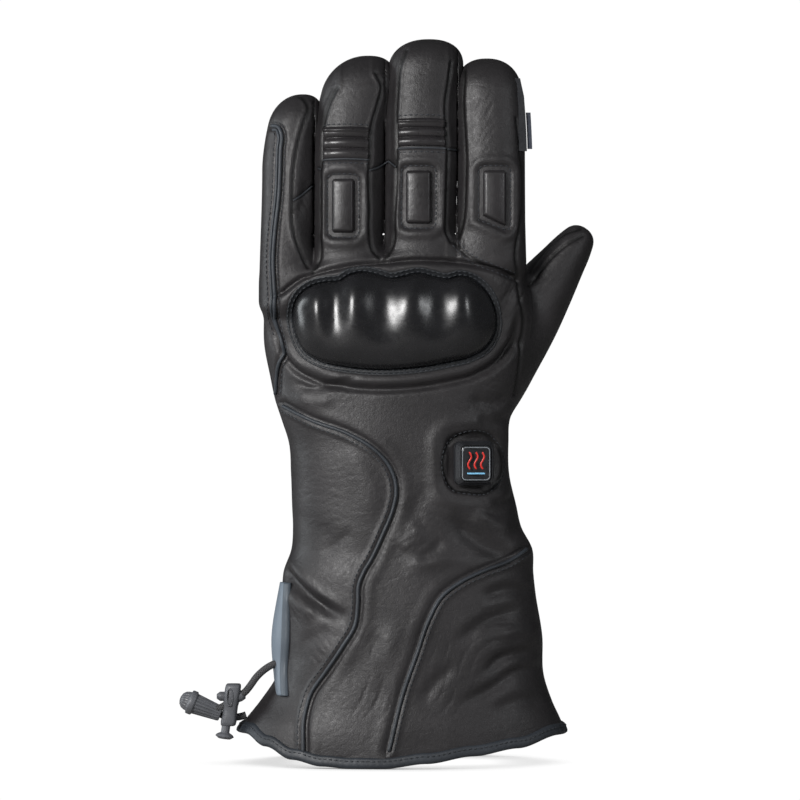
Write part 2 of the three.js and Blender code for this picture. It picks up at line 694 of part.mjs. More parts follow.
// The space right of the hand that only the thumb reaches.
const thumbSpace = boxSolid(
  [besideHand.across * palmWidth, besideHand.deep * wristDepth, cuffHeight],
  [far, far, cuffHeight + besideHand.up * handHeight],
).subtract(handForm(seamGap, 0));

const thumbStall = largest(leather.intersect(pastThumbSeam(0)).intersect(thumbSpace));
const withoutThumb = leather.subtract(pastThumbSeam(-seamGap).intersect(thumbSpace.add(thumbStall)));

function leatherPieces() {
  const cuff = withoutThumb.intersect(slab(-far, wristSeam)).subtract(hemSolid(seamGap));
  const hand = withoutThumb.intersect(slab(wristSeam + seamGap, stallSeam));
  addMesh("cuff_shell", geometryOf(largest(cuff), shellTolerance), "leather");
  addMesh("hand_shell", geometryOf(largest(hand), shellTolerance), "leather");
  addMesh("thumb_stall", geometryOf(thumbStall), "leather");
  fingerRows.forEach((finger, i) => {
    const tube = fingerSolid(finger, 0).subtract(fingerSolid(finger, -wall));
    const stall = fingerRows
      .slice(i + 1)
      .reduce((pressed, next) => pressed.subtract(fingerSolid(next, seamGap)), tube)
      .intersect(slab(stallSeam + seamGap, far));
    addMesh(finger.name + "_stall", geometryOf(largest(stall)), "leather");
  });
}

// A prism through the front half of the glove with an outline in x and z.
function prism(outline, deepest) {
  const shape = new THREE.Shape(outline.map(([x, z]) => new THREE.Vector2(x, z)));
  const body = new THREE.ExtrudeGeometry(shape, { depth: hemDepth + guardRise, bevelEnabled: false });
  body.rotateX(Math.PI / 2);
  body.translate(0, deepest, 0);
  return solidOf(body);
}

// A rectangle with rounded corners, each of a few steps, anticlockwise.
function roundedOutline(x, z, width, height, radius, cornerSteps) {
  const points = [];
  const quarters = [[1, 1, 0], [-1, 1, 1], [-1, -1, 2], [1, -1, 3]];
  for (const [sx, sz, turn] of quarters) {
    for (let i = 0; i <= cornerSteps; i++) {
      const angle = ((turn + i / cornerSteps) * Math.PI) / 2;
      points.push([
        x + sx * (width / 2 - radius) + radius * Math.cos(angle),
        z + sz * (height / 2 - radius) + radius * Math.sin(angle),
      ]);
    }
  }
  return points;
}

// A pad or rib laid on the leather: what lies between two grown forms of the glove, inside an outline.
function laidOn(outline, form, deepest) {
  return form.intersect(prism(outline, deepest)).subtract(clearForm);
}

function placeOn(entry) {
  const z = forkTop + entry.up * middleReach;
  const section = fingerAt(fingerNamed(entry.finger), z, 0);
  return { x: section.x + entry.side * section.halfWidth * 2, z, section };
}

function fingerPads() {
  const form = gloveForm(padRise, 0);
  for (const entry of padPlaces) {
    const { x, z } = placeOn(entry);
    const pad = laidOn(roundedOutline(x, z, padWidth, padHeight, padCorner, 3), form, 0);
    addMesh(entry.finger + "_pad", geometryOf(largest(pad)), "leather");
  }
}

function fingerRibs() {
  const base = gloveForm(ribBase + seamGap, 0);
  const raised = gloveForm(ribRise, 0);
  for (const entry of ribPlaces) {
    const { x, z, section } = placeOn(entry);
    const width = entry.wide * section.halfWidth * 2;
    const band = ribPitch * (ribSteps.length - 1) + ribHeight;
    const bar = (height, up) => roundedOutline(x, z + up, width, height, ribCorner, 1);
    const ribs = ribSteps.reduce(
      (joined, step) => joined.add(laidOn(bar(ribHeight, step * ribPitch), raised, section.y)),
      laidOn(bar(band, 0), base, section.y),
    );
    addMesh(entry.finger + "_ribs", geometryOf(largest(ribs)), "leather");
  }
}

// 1 between two knuckles and -1 on one, at a place across the guard.
const knuckleWave = (x) => Math.cos((x / guardWidth) * knuckles * 2 * Math.PI);

// The guard's outline at an angle, shrunk or grown by a margin; its upper edge is scalloped by the knuckles.
function guardEdge(angle, margin) {
  const [x, z] = onOval(guardWidth / 2 + margin, guardHeight / 2 + margin, guardSquare, angle);
  const dip = Math.sin(angle) > scallopFrom ? scallop * guardHeight * knuckleWave(x) : 0;
  return [guardCentre[0] + x, guardCentre[1] + z - dip];
}

// Height of the hard shell over the leather, by its share of the way from the middle to the edge.
function domeRise(x, share) {
  const round = Math.pow(Math.max(1 - Math.pow(share, domeSquare), 0), 0.5);
  return (guardRise - (knuckleDip * (knuckleWave(x - guardCentre[0]) + 1)) / 2) * round;
}

function knuckleGuard() {
  const front = [];
  const back = [];
  for (const share of guardShares) {
    for (const angle of angles(guardSides)) {
      const [ex, ez] = guardEdge(angle, 0);
      const x = mix(guardCentre[0], ex, share);
      const z = mix(guardCentre[1], ez, share);
      const y = frontY(x, z) - 2 * seamGap;
      front.push([x, y - rimRise - domeRise(x, share), z]);
      back.push([x, y, z]);
    }
  }
  const points = [...front, ...back];
  const [cx, cz] = guardCentre;
  const cy = frontY(cx, cz) - 2 * seamGap;
  points.push([cx, cy - rimRise - domeRise(cx, 0), cz], [cx, cy, cz]);
  const faces = [];
  const n = front.length;
  const edge = n - guardSides;
  for (let i = 0; i < guardSides; i++) {
    const j = (i + 1) % guardSides;
    for (let a = 0; a < edge; a += guardSides) {
      const b = a + guardSides;
      faces.push([a + i, b + i, b + j], [a + i, b + j, a + j]);
      faces.push([n + a + i, n + b + j, n + b + i], [n + a + i, n + a + j, n + b + j]);
    }
    faces.push([edge + i, n + edge + i, n + edge + j], [edge + i, n + edge + j, edge + j]);
    faces.push([2 * n, i, j], [2 * n + 1, n + j, n + i]);
  }
  const shell = solidFrom(points, faces);
  addMesh("knuckle_guard", geometryOf(largest(shell.subtract(clearForm))), "hardShell");

  const outline = (margin) => angles(guardSides).map((angle) => guardEdge(angle, margin));
  const ring = prism(outline(rimWidth), 0).subtract(prism(outline(seamGap), seamGap));
  const rim = gloveForm(rimRise + seamGap, 0).intersect(ring).subtract(clearForm);
  addMesh("guard_rim", geometryOf(largest(rim)), "binding");
}

function tube(points, radius, around, steps) {
  const shape = new THREE.Shape(
    angles(around).map((angle) => new THREE.Vector2(radius * Math.cos(angle), radius * Math.sin(angle))),
  );
  const extrudePath = new THREE.CatmullRomCurve3(points);
  return solidOf(new THREE.ExtrudeGeometry(shape, { steps, bevelEnabled: false, extrudePath }));
}

function piping(name, rows, unit, base, steps) {
  const radius = pipingWidth / 2;
  const points = rows.map((row) => {
    const x = row.across * palmWidth;
    const z = base + row.up * unit;
    return new THREE.Vector3(x, frontY(x, z) - radius * pipingStand, z);
  });
  const cut = tube(points, radius, pipingSides, steps).subtract(clearForm).subtract(hemSolid(seamGap));
  addMesh(name, geometryOf(largest(cut)), "binding");
}

// The hem's binding: a folded band over the edge, grown by a margin where it is a cut.
function hemSolid(margin) {
  const outer = bindingWall + seamGap + margin;
  const outerFace = seamGap - margin;
  const innerFace = -wall - seamGap + margin;
  const inner = -wall - seamGap - bindingWall - margin;
  const rows = [
    { out: outer, up: bindingHeight + margin },
    { out: outerFace, up: bindingHeight + margin },
    { out: outerFace, up: bindingWall + margin },
    { out: innerFace, up: bindingWall + margin },
    { out: innerFace, up: bindingHeight + margin },
    { out: inner, up: bindingHeight + margin },
    { out: inner, up: -margin },
    { out: outer, up: -margin },
  ];
  const ring = angles(bodySides).map((angle) => {
    const start = onSection(bodyAt(0), angle, 0);
    const hem = hemAt(start[0] - bodyAt(0).x, Math.sin(angle));
    return rows.map((row) => [...onSection(bodyAt(hem + row.up), angle, row.out), hem + row.up]);
  });
  const faces = [];
  for (let i = 0; i < ring.length; i++) {
    const here = i * rows.length;
    const next = ((i + 1) % ring.length) * rows.length;
    for (let k = 0; k < rows.length; k++) {
      const l = (k + 1) % rows.length;
      faces.push([here + k, next + k, next + l], [here + k, next + l, here + l]);
    }
  }
  return solidFrom(ring.flat(), faces);
}

// Rounded rectangles stacked along +Z, as one closed solid.
function stacked(rows, cornerSteps) {
  const outline = (row) => roundedOutline(0, 0, row.width, row.height, row.radius, cornerSteps);
  return loft(rows.map((row) => outline(row).map(([u, v]) => [u, v, row.up])));
}

function heatButton() {
  const x = buttonPlace.across * palmWidth;
  const z = cuffHeight + buttonPlace.up * handHeight;
  // The holder's own +Z is the button's outward normal.
  const normal = new THREE.Vector3(Math.sin(buttonTurn), -Math.cos(buttonTurn), 0);
  const across = new THREE.Vector3(Math.cos(buttonTurn), Math.sin(buttonTurn), 0);
  const up = new THREE.Vector3(0, 0, 1);
  // The housing stands clear of the highest place of the leather under it.
  const places = [-0.5, 0, 0.5];
  const corners = places.flatMap((u) => places.map((v) => [u * buttonWidth, v * buttonHeight]));
  const heights = corners.map(([u, v]) => {
    const px = x + u * Math.cos(buttonTurn);
    return new THREE.Vector3(px, frontY(px, z + v), z + v).dot(normal);
  });
  const foot = new THREE.Vector3(x, frontY(x, z), z);
  foot.addScaledVector(normal, Math.max(...heights) - foot.dot(normal) + 2 * seamGap);
  const holder = new THREE.Group();
  holder.applyMatrix4(new THREE.Matrix4().makeBasis(across, up, normal).setPosition(foot));
  glove.add(holder);

  const well = buttonPlate + buttonTravel + seamGap - buttonProud;
  const narrowing = bevelSpread * buttonBevel;
  const whole = { width: buttonWidth, height: buttonHeight, radius: buttonCorner };
  const front = { width: buttonWidth - narrowing, height: buttonHeight - narrowing, radius: buttonCorner };
  const housing = stacked([
    { ...whole, up: 0 },
    { ...whole, up: buttonRise - buttonBevel },
    { ...front, up: buttonRise },
  ], 3);
  const faceCorner = buttonCorner * cornerShrink;
  const room = {
    width: buttonFace + 2 * seamGap,
    height: buttonFaceHeight + 2 * seamGap,
    radius: faceCorner + seamGap,
  };
  const hollow = stacked([
    { ...room, up: buttonRise - well },
    { ...room, up: 2 * buttonRise },
  ], 3);
  addMesh("heat_button_housing", geometryOf(housing.subtract(hollow)), "plastic", holder);

  const low = buttonRise - well + buttonTravel + seamGap;
  const bevel = buttonPlate * (1 - cornerShrink);
  const plateSize = { width: buttonFace, height: buttonFaceHeight, radius: faceCorner };
  const plateFront = {
    width: buttonFace - 2 * bevel,
    height: buttonFaceHeight - 2 * bevel,
    radius: faceCorner,
  };
  const plate = stacked([
    { ...plateSize, up: low },
    { ...plateSize, up: low + buttonPlate - bevel },
    { ...plateFront, up: low + buttonPlate },
  ], 3);
  addMesh("heat_button_face", geometryOf(plate), "face", holder);
}

// The rubber tab stands along the cuff's left side, square to a normal that looks forward and out.
function sideTab() {
  const normal = new THREE.Vector2(-Math.sin(tabTurn), -Math.cos(tabTurn));
  const along = new THREE.Vector2(-normal.y, normal.x);
  const low = 2 * seamGap;
  const high = low + tabThickness;
  const section = [
    [-tabWidth / 2, low],
    [-tabWidth / 2, high * tabEdge],
    [(-tabWidth / 2) * tabFlat, high],
    [(tabWidth / 2) * tabFlat, high],
    [tabWidth / 2, high * tabEdge],
    [tabWidth / 2, low],
  ];
  const rings = angles(tabSteps + 1).map((_, i) => {
    const z = tabUp * cuffHeight + (i / tabSteps) * tabHeight;
    const outline = angles(tabScan).map((angle) => new THREE.Vector2(...bodyPoint(z, angle, 0)));
    const foot = outline.reduce((best, p) => (p.dot(normal) > best.dot(normal) ? p : best));
    return section.map(([u, v]) => {
      const p = foot.clone().addScaledVector(along, u).addScaledVector(normal, v);
      return [p.x, p.y, z];
    });
  });
  const tab = loft(rings);
  addMesh("side_tab", geometryOf(largest(tab.subtract(clearForm))), "rubber");
}

const vectors = (list) => list.map((p) => new THREE.Vector3(...p));

function strands() {
  for (const [name, list] of [["drawcord_upper", upperStrand], ["drawcord_lower", lowerStrand]]) {
    const cord = tube(vectors(list), cordDiameter / 2, cordSides, cordSteps);
    addMesh(name, geometryOf(cord), "cord");
  }
}

function ovalRing(width, height, up, [x, y] = [0, 0]) {
  return angles(bellSides).map((angle) => {
    return [x + (width / 2) * Math.cos(angle), y + (height / 2) * Math.sin(angle), up];
  });
}

// Everything on the drawcord: the lock, its plunger and the bell-shaped cord end.
function cordFittings() {
  const cordRoom = [upperStrand, lowerStrand]
    .map((list) => tube(vectors(list), cordDiameter / 2 + seamGap, cordSides, cordSteps))
    .reduce((a, b) => a.add(b));

  const holder = new THREE.Matrix4().makeRotationY(lockTilt).setPosition(...lockPlace);
  const placed = (solid) => solid.transform(holder.elements);
  const bottom = -lockHeight / 2;
  const block = (share, up) => {
    return { width: lockWidth * share, height: lockDepth * share, radius: lockCorner, up };
  };
  const body = stacked([
    block(lockFoot, bottom),
    block(1, bottom + lockChamfer),
    block(1, lockHeight / 2 - lockChamfer),
    block(lockHead, lockHeight / 2),
  ], 2);
  const shift = [boreShift.across * lockWidth, boreShift.deep * lockDepth];
  const boreWidth = plungerStem + 2 * seamGap;
  const boreEnds = [bottom - lockChamfer, bottom + plungerBore];
  const bore = loft(boreEnds.map((up) => ovalRing(boreWidth, boreWidth, up, shift)));
  const capLow = bottom - plungerShow - plungerCapHeight;
  const plunger = loft([
    ...plungerSections.map((row) => {
      const width = 2 * row.radius * plungerCap;
      return ovalRing(width, width, capLow + row.up * plungerCapHeight, shift);
    }),
    ovalRing(plungerStem, plungerStem, bottom - plungerShow, shift),
    ovalRing(plungerStem, plungerStem, bottom + plungerBore - plungerTravel - seamGap, shift),
  ]);
  addMesh("cord_lock_body", geometryOf(largest(placed(body.subtract(bore)).subtract(cordRoom))), "plastic");
  addMesh("cord_lock_plunger", geometryOf(placed(plunger)), "plastic");

  const axis = new THREE.Vector3(-Math.cos(bellTilt), 0, Math.sin(bellTilt));
  const side = new THREE.Vector3(0, 1, 0);
  const rise = new THREE.Vector3().crossVectors(axis, side);
  const basis = new THREE.Matrix4().makeBasis(side, rise, axis).setPosition(...bellPlace);
  const bell = loft(
    bellSections.map((row) => ovalRing(row.wide * bellWidth, row.high * bellWidth, row.up * bellLength)),
  ).transform(basis.elements);
  addMesh("cord_end_bell", geometryOf(largest(bell.subtract(cordRoom))), "plastic");
}

// The wiper: a rubber strip down the index finger's outer side with a pale blade standing on its lower half.
function visorWiper() {
  const finger = fingerNamed("index");
  const low = finger.tipZ - wiperTop * middleReach - wiperHeight;
  const rows = (bottom, height, inner, rise, depth) => wiperLevels.map((t) => {
    const z = bottom + t * height;
    const [x, y] = onSection(fingerAt(finger, z, 0), wiperAngle, 0);
    const near = x + inner;
    const back = y + depth / 2;
    const front = y - depth / 2;
    return [[near, front, z], [near + rise, front, z], [near + rise, back, z], [near, back, z]];
  });
  const strip = loft(rows(low, wiperHeight, -wiperSunk, wiperSunk + wiperRise, wiperDepth));
  addMesh("wiper_strip", geometryOf(largest(strip.subtract(clearForm))), "cord");
  const blade = loft(rows(low + bladeLow, bladeHeight, wiperRise + seamGap, bladeRise, bladeThickness));
  addMesh("wiper_blade", geometryOf(blade), "blade");
}

// The origin lies under the middle of the glove's box, the cord and its fittings apart.
function centre() {
  const box = new THREE.Box3();
  glove.updateMatrixWorld(true);
  glove.traverse((part) => {
    if (part.isMesh && !/^(drawcord|cord_)/.test(part.name)) box.expandByObject(part, true);
  });
  glove.position.set(-(box.min.x + box.max.x) / 2, -(box.min.y + box.max.y) / 2, -box.min.z);
}

leatherPieces();
fingerPads();
fingerRibs();
knuckleGuard();
addMesh("hem_binding", geometryOf(hemSolid(0)), "binding");
piping("cuff_piping_left", leftPiping, cuffHeight, 0, 18);
piping("cuff_piping_right", rightPiping, cuffHeight, 0, 14);
piping("side_piping", sidePiping, handHeight, cuffHeight, 14);
heatButton();
sideTab();
strands();
cordFittings();
visorWiper();
centre();

export default glove;
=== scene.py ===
"""Looks of a heated gauntlet glove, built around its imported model: leather with seams and folds, knuckle
shell, finger pads and ribs, piping, hem binding, heat button, drawcord with its lock, and the stage."""

import math

import bpy
import numpy as np
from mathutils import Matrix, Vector


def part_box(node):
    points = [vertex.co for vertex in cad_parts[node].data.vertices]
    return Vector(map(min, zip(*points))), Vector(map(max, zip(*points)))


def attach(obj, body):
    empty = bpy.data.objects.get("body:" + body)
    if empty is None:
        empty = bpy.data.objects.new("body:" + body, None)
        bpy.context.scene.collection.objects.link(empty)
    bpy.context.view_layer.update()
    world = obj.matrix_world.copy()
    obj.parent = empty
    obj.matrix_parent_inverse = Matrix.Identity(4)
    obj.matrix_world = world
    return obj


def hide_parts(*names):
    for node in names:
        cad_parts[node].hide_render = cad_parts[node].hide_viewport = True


bl_info = {
    "name": "Heated Gauntlet Glove",
    "version": (1, 0, 0),
    "blender": (4, 5, 0),
    "location": "View3D > Sidebar > Glove",
    "description": "Builds the leather, seams and trims of a heated gauntlet glove around its packed model",
    "category": "Add Mesh",
}

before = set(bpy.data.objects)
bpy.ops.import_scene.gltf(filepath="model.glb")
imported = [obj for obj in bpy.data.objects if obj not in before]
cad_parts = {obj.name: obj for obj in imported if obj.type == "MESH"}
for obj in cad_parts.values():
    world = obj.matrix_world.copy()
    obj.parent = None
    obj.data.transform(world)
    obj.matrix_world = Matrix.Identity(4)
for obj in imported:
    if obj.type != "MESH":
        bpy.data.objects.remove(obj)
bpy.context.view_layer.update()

# All shapes are worked out in millimetres, with the middle of the palm at x = 0. This moves them to the frame.
MM = 0.001
FRAME_SHIFT = np.array([-10.562, 0.0, 0.0])

# Cuff and hand: height, half width, half depth, middle across, middle in depth, exponent of the oval.
BODY_ROWS = [
    (-6.0, 80.5, 38.3, 2.0, 0.0, 2.2),
    (0.0, 79.1, 38.0, 2.6, 0.0, 2.2),
    (18.0, 74.8, 37.0, 4.4, 0.0, 2.2),
    (28.3, 68.5, 35.7, 6.1, 0.3, 2.25),
    (40.5, 62.5, 34.8, 8.1, 0.3, 2.3),
    (59.4, 61.1, 33.7, 8.7, 0.3, 2.4),
    (79.6, 59.2, 32.5, 7.4, 0.6, 2.4),
    (89.1, 58.4, 31.7, 7.2, 0.7, 2.4),
    (99.9, 56.3, 30.5, 8.8, 0.9, 2.4),
    (110.0, 53.4, 29.7, 6.6, 0.7, 2.4),
    (120.2, 52.4, 29.3, 5.2, 0.7, 2.4),
    (135.0, 51.0, 28.7, 3.3, 0.8, 2.4),
    (150.1, 51.4, 28.5, 2.6, 1.0, 2.4),
    (159.8, 53.2, 28.5, 1.3, 1.5, 2.4),
    (169.6, 56.6, 28.5, 1.5, 2.0, 2.4),
    (180.4, 59.5, 28.5, 2.1, 2.5, 2.4),
    (195.5, 61.8, 27.8, 1.6, 2.3, 2.45),
    (210.6, 61.8, 26.0, 1.5, 1.0, 2.5),
    (222.5, 60.9, 22.6, 0.5, -1.2, 2.6),
    (233.3, 60.4, 17.8, 0.1, -4.2, 2.6),
    (243.0, 59.5, 13.0, 0.0, -5.6, 2.6),
    (256.0, 58.0, 10.0, 0.0, -5.8, 2.6),
]
FORK_LEVEL = 245.0  # height of the web between middle and index finger
FORK_PLACE = 28.0  # where that web is across the hand
FORK_SLOPE = 0.2  # how fast the webs drop towards the little finger
FORK_ROUNDING = 6.0

# Fingers: middle at the root, joint and tip; half width at the root and joint; heights of root, joint and
# tip; half depth; height of the rounded end.
FINGERS = {
    "little": (-49.3, -48.0, -42.1, 13.2, 13.0, 210.4, 277.7, 312.2, 12.6, 14.5),
    "ring": (-21.0, -19.6, -11.4, 17.8, 17.8, 216.0, 286.7, 330.2, 13.4, 17.5),
    "middle": (12.2, 13.4, 16.8, 18.2, 18.3, 222.5, 290.5, 337.9, 14.0, 13.5),
    "index": (44.3, 45.2, 43.7, 17.4, 16.3, 229.2, 286.0, 328.9, 14.0, 16.0),
}
FINGER_SET = -6.5  # depth of the fingers' middle at their roots
FINGER_CURL = 10.8  # how much further back their tips are
FINGER_POWER = 2.35
FINGER_ROUNDING = 4.0
CAP_POWER = 2.3

# Thumb: way along it, half width, half depth.
THUMB_ROWS = [
    (-14.0, 12.0, 9.0),
    (0.0, 18.0, 13.5),
    (17.0, 19.0, 15.0),
    (34.0, 17.4, 15.0),
    (52.0, 14.2, 14.2),
    (67.0, 11.0, 13.2),
    (77.5, 8.7, 11.6),
    (83.0, 6.9, 9.4),
    (90.0, 4.0, 5.0),
]
THUMB_START = np.array([41.5, 9.1, 179.3])
THUMB_AXIS = np.array([0.5687, 0.13, 0.8122])
THUMB_ACROSS = np.array([0.8192, 0.0, -0.5736])
THUMB_LENGTH = 86.0
THUMB_BACK = -12.0  # where its form ends inside the hand
THUMB_POWER = 2.2
THUMB_ROUNDING = 9.0
THUMB_END_ROUNDING = 5.0

# Hem: share of half the hem's width, then how high its front and its back stand there.
HEM_ROWS = [
    (-1.0, 14.5, 14.5),
    (-0.85, 9.3, 7.2),
    (-0.667, 3.7, 1.5),
    (-0.475, 0.9, 0.0),
    (-0.3, 0.0, 0.0),
    (-0.1, 0.0, 0.0),
    (0.17, 2.3, 0.0),
    (0.456, 5.6, 0.9),
    (0.74, 8.8, 5.1),
    (1.0, 13.8, 13.8),
]
HEM_HALF = 75.0

# Where the leather is split into pieces: two heights, and a place along the thumb.
WRIST_SEAM = 158.0
STALL_SEAM = 247.0
THUMB_SEAM = 36.0

# Outline of the knuckle shell, in x and z, anticlockwise from its left end.
GUARD_LOOP = [
    (-46.2, 208.0), (-44.8, 200.0), (-41.2, 193.0), (-33.2, 188.3), (-22.3, 186.0), (-9.7, 184.8),
    (3.3, 185.0), (16.3, 186.4), (26.5, 188.3), (35.8, 190.6), (43.2, 195.0), (46.8, 201.0),
    (47.6, 208.4), (45.4, 216.0), (41.6, 221.8), (35.8, 226.2), (30.3, 227.0), (25.1, 225.7),
    (18.2, 227.0), (11.6, 228.4), (5.6, 227.2), (-0.4, 226.0), (-7.0, 227.6), (-14.0, 228.9),
    (-20.0, 227.8), (-24.6, 225.0), (-30.7, 224.4), (-37.7, 222.6), (-42.0, 219.8), (-45.0, 215.4),
]
# Places across the hand and turns of the shell's wave there: whole turns are knuckles.
KNUCKLES = [(-36.5, 0.0), (-17.8, 1.0), (8.4, 2.0), (33.4, 3.0), (58.0, 4.0)]

# Seams on the back of the hand, in x and z.
FINGER_SEAMS = {
    "little_inner": [
        (-45.0, 312.0), (-41.4, 309.6), (-39.4, 305.6), (-40.9, 300.4), (-44.2, 288.4), (-46.0, 276.7),
        (-46.5, 265.1), (-46.0, 248.8), (-43.2, 239.5), (-39.5, 231.5),
    ],
    "ring_outer": [
        (-26.0, 315.0), (-30.4, 305.7), (-32.7, 295.3), (-33.3, 279.1), (-33.4, 262.8), (-33.6, 244.2),
        (-34.4, 234.0), (-37.2, 229.6),
    ],
    "ring_inner": [
        (-8.0, 322.0), (-5.2, 316.0), (-7.0, 307.0), (-9.7, 297.7), (-10.2, 283.7), (-11.1, 274.4),
        (-10.7, 258.1), (-10.7, 246.5), (-8.8, 238.6), (-6.0, 235.8),
    ],
    "middle_outer": [
        (6.4, 332.5), (3.3, 325.3), (2.0, 313.3), (1.4, 300.0), (1.6, 286.0), (1.7, 272.1),
        (0.8, 255.8), (-0.2, 241.9), (-3.0, 235.8),
    ],
    "middle_inner": [
        (27.2, 327.0), (26.1, 318.6), (24.7, 309.3), (24.7, 297.7), (25.6, 286.0), (25.1, 272.1),
        (24.7, 258.1), (24.9, 247.9), (27.0, 243.4),
    ],
    "index_outer": [
        (33.4, 322.9), (32.4, 309.3), (33.0, 295.3), (33.7, 281.4), (33.4, 267.4), (32.4, 253.5),
        (30.4, 245.1),
    ],
}
# Short seams across the strips between the fingers.
CROSS_SEAMS = {
    "little_cross": [(-46.2, 262.6), (-42.0, 265.2), (-37.0, 269.4)],
    "ring_cross_outer": [(-34.9, 277.6), (-33.6, 277.0)],
    "ring_cross_inner": [(-10.6, 276.6), (-6.4, 278.0), (-2.6, 280.6)],
    "middle_cross_outer": [(-2.4, 280.8), (1.4, 278.2)],
    "middle_cross_inner": [(25.6, 286.4), (30.0, 286.0)],
}
HAND_SEAMS = {
    "thumb_upper": [(63.5, 229.0), (65.5, 232.0), (73.0, 241.2), (81.5, 247.6), (88.0, 249.4)],
    "thumb_lower": [(63.5, 222.8), (65.2, 224.6), (73.0, 234.9), (80.0, 241.2), (89.0, 246.3)],
    "index_diagonal": [(28.6, 243.2), (32.4, 238.8), (39.6, 234.0), (49.0, 230.4), (56.6, 227.2)],
    "index_edge": [
        (57.4, 301.0), (59.0, 286.0), (59.9, 275.8), (60.0, 263.3), (58.4, 248.4), (57.0, 237.2),
        (58.0, 226.0), (57.8, 219.1), (60.0, 206.0), (58.8, 188.4), (56.4, 172.1),
    ],
}
LEFT_PIPING = [
    (-50.6, 167.1), (-37.2, 160.5), (-20.4, 154.4), (-9.3, 147.9), (-2.3, 140.5), (0.9, 133.0),
    (1.4, 127.4), (-0.4, 118.6), (-4.2, 109.3), (-10.2, 96.3), (-13.4, 91.0), (-15.8, 84.7),
    (-16.2, 76.3), (-17.7, 65.7), (-23.2, 56.3), (-31.6, 43.3), (-38.1, 33.5), (-40.9, 24.2),
    (-41.4, 7.6),
]
RIGHT_PIPING = [
    (61.6, 100.2), (54.4, 95.6), (42.3, 91.2), (31.2, 86.0), (22.3, 79.1), (16.8, 69.3),
    (11.2, 53.5), (5.1, 36.3), (-1.8, 8.6),
]
SIDE_PIPING = [
    (-56.0, 297.2), (-53.4, 296.8), (-51.8, 293.4), (-52.1, 286.0), (-53.0, 263.3), (-54.6, 248.8),
    (-55.5, 234.9), (-54.9, 221.4), (-53.5, 202.3), (-51.6, 193.0), (-53.8, 183.7), (-54.2, 172.7),
]

# Folds of the leather: points in x and z, depth, half width, and how far it is a ledge, not a groove.
FOLDS = [
    (
        [(-56.0, 100.5), (-50.0, 91.0), (-42.0, 82.5), (-33.0, 76.0), (-24.0, 71.5), (-19.0, 71.0)],
        2.8, 2.6, 0.8,
    ),
    ([(-52.0, 82.0), (-43.0, 75.0), (-33.0, 70.5)], -1.4, 4.5, 0.0),
    ([(-62.0, 206.0), (-48.0, 196.0), (-38.0, 184.0), (-24.0, 179.0)], 0.9, 3.0, 0.0),
    ([(-50.0, 180.5), (-38.0, 176.0), (-26.0, 178.0), (-14.0, 181.5)], 1.1, 1.8, 0.4),
    ([(-47.0, 173.0), (-36.0, 169.5), (-26.0, 170.5)], -0.7, 3.0, 0.0),
    ([(64.0, 200.0), (54.0, 193.0), (44.0, 185.0), (32.0, 180.0)], 1.5, 2.6, 0.5),
    ([(58.0, 172.0), (46.0, 168.0), (34.0, 171.0)], 1.5, 3.6, 0.3),
    ([(57.0, 162.0), (47.0, 159.5), (38.0, 162.0)], 1.2, 3.0, 0.0),
    ([(26.0, 119.0), (36.0, 109.0), (48.0, 101.0), (60.0, 97.0)], 2.4, 4.0, 0.5),
    ([(36.0, 119.0), (46.0, 113.0), (57.0, 109.0)], -1.5, 3.6, 0.0),
    ([(60.0, 126.0), (52.0, 122.0), (44.0, 123.0)], 1.0, 2.6, 0.3),
    ([(4.0, 92.0), (14.0, 95.0), (28.0, 96.5), (40.0, 95.0)], -0.9, 3.6, 0.0),
    ([(3.0, 100.0), (9.0, 107.0), (15.0, 112.0)], -1.1, 5.5, 0.0),
    ([(10.0, 96.0), (18.0, 100.0), (23.0, 108.0)], 0.8, 2.4, 0.3),
    ([(8.0, 112.0), (13.0, 125.0), (20.0, 134.0)], 0.5, 4.0, 0.0),
    ([(27.9, 56.7), (44.2, 69.3), (60.5, 74.0)], 1.5, 3.4, 0.5),
    ([(40.0, 42.8), (52.1, 52.1), (70.7, 53.0)], 1.7, 3.0, 0.5),
    ([(11.6, 28.8), (20.0, 40.9), (30.3, 48.8)], 1.0, 3.0, 0.3),
    ([(27.9, 28.8), (44.2, 36.7), (58.2, 44.7), (72.0, 46.0)], 1.5, 2.8, 0.5),
    ([(40.0, 79.1), (52.1, 83.0), (68.0, 80.0)], 1.4, 2.8, 0.5),
    ([(46.0, 61.0), (58.0, 63.0), (70.0, 60.0)], -1.2, 3.4, 0.0),
    ([(44.0, 26.0), (58.0, 31.0), (74.0, 30.0)], 1.0, 3.2, 0.3),
    ([(-28.0, 66.0), (-36.0, 60.0), (-44.0, 57.0)], 0.6, 3.0, 0.0),
    ([(-26.0, 150.0), (-16.0, 140.0), (-10.0, 126.0), (-14.0, 112.0)], -0.6, 5.5, 0.0),
    ([(-50.0, 122.0), (-38.0, 112.0), (-22.0, 104.0)], 0.5, 4.5, 0.0),
    ([(-34.0, 98.0), (-26.0, 104.0), (-18.0, 112.0)], 0.5, 2.6, 0.3),
    ([(-52.0, 38.0), (-38.0, 46.0), (-26.0, 62.0)], -0.8, 6.0, 0.0),
    ([(-12.0, 34.0), (-4.0, 52.0), (4.0, 70.0)], -0.8, 6.0, 0.0),
    ([(-12.0, 66.0), (-6.0, 52.0), (-4.0, 38.0)], 0.6, 4.0, 0.3),
    ([(-46.0, 252.0), (-42.0, 262.0), (-40.0, 274.0)], 0.7, 2.4, 0.0),
    ([(57.0, 226.0), (52.0, 214.0), (51.0, 202.0)], 0.9, 3.0, 0.3),
]

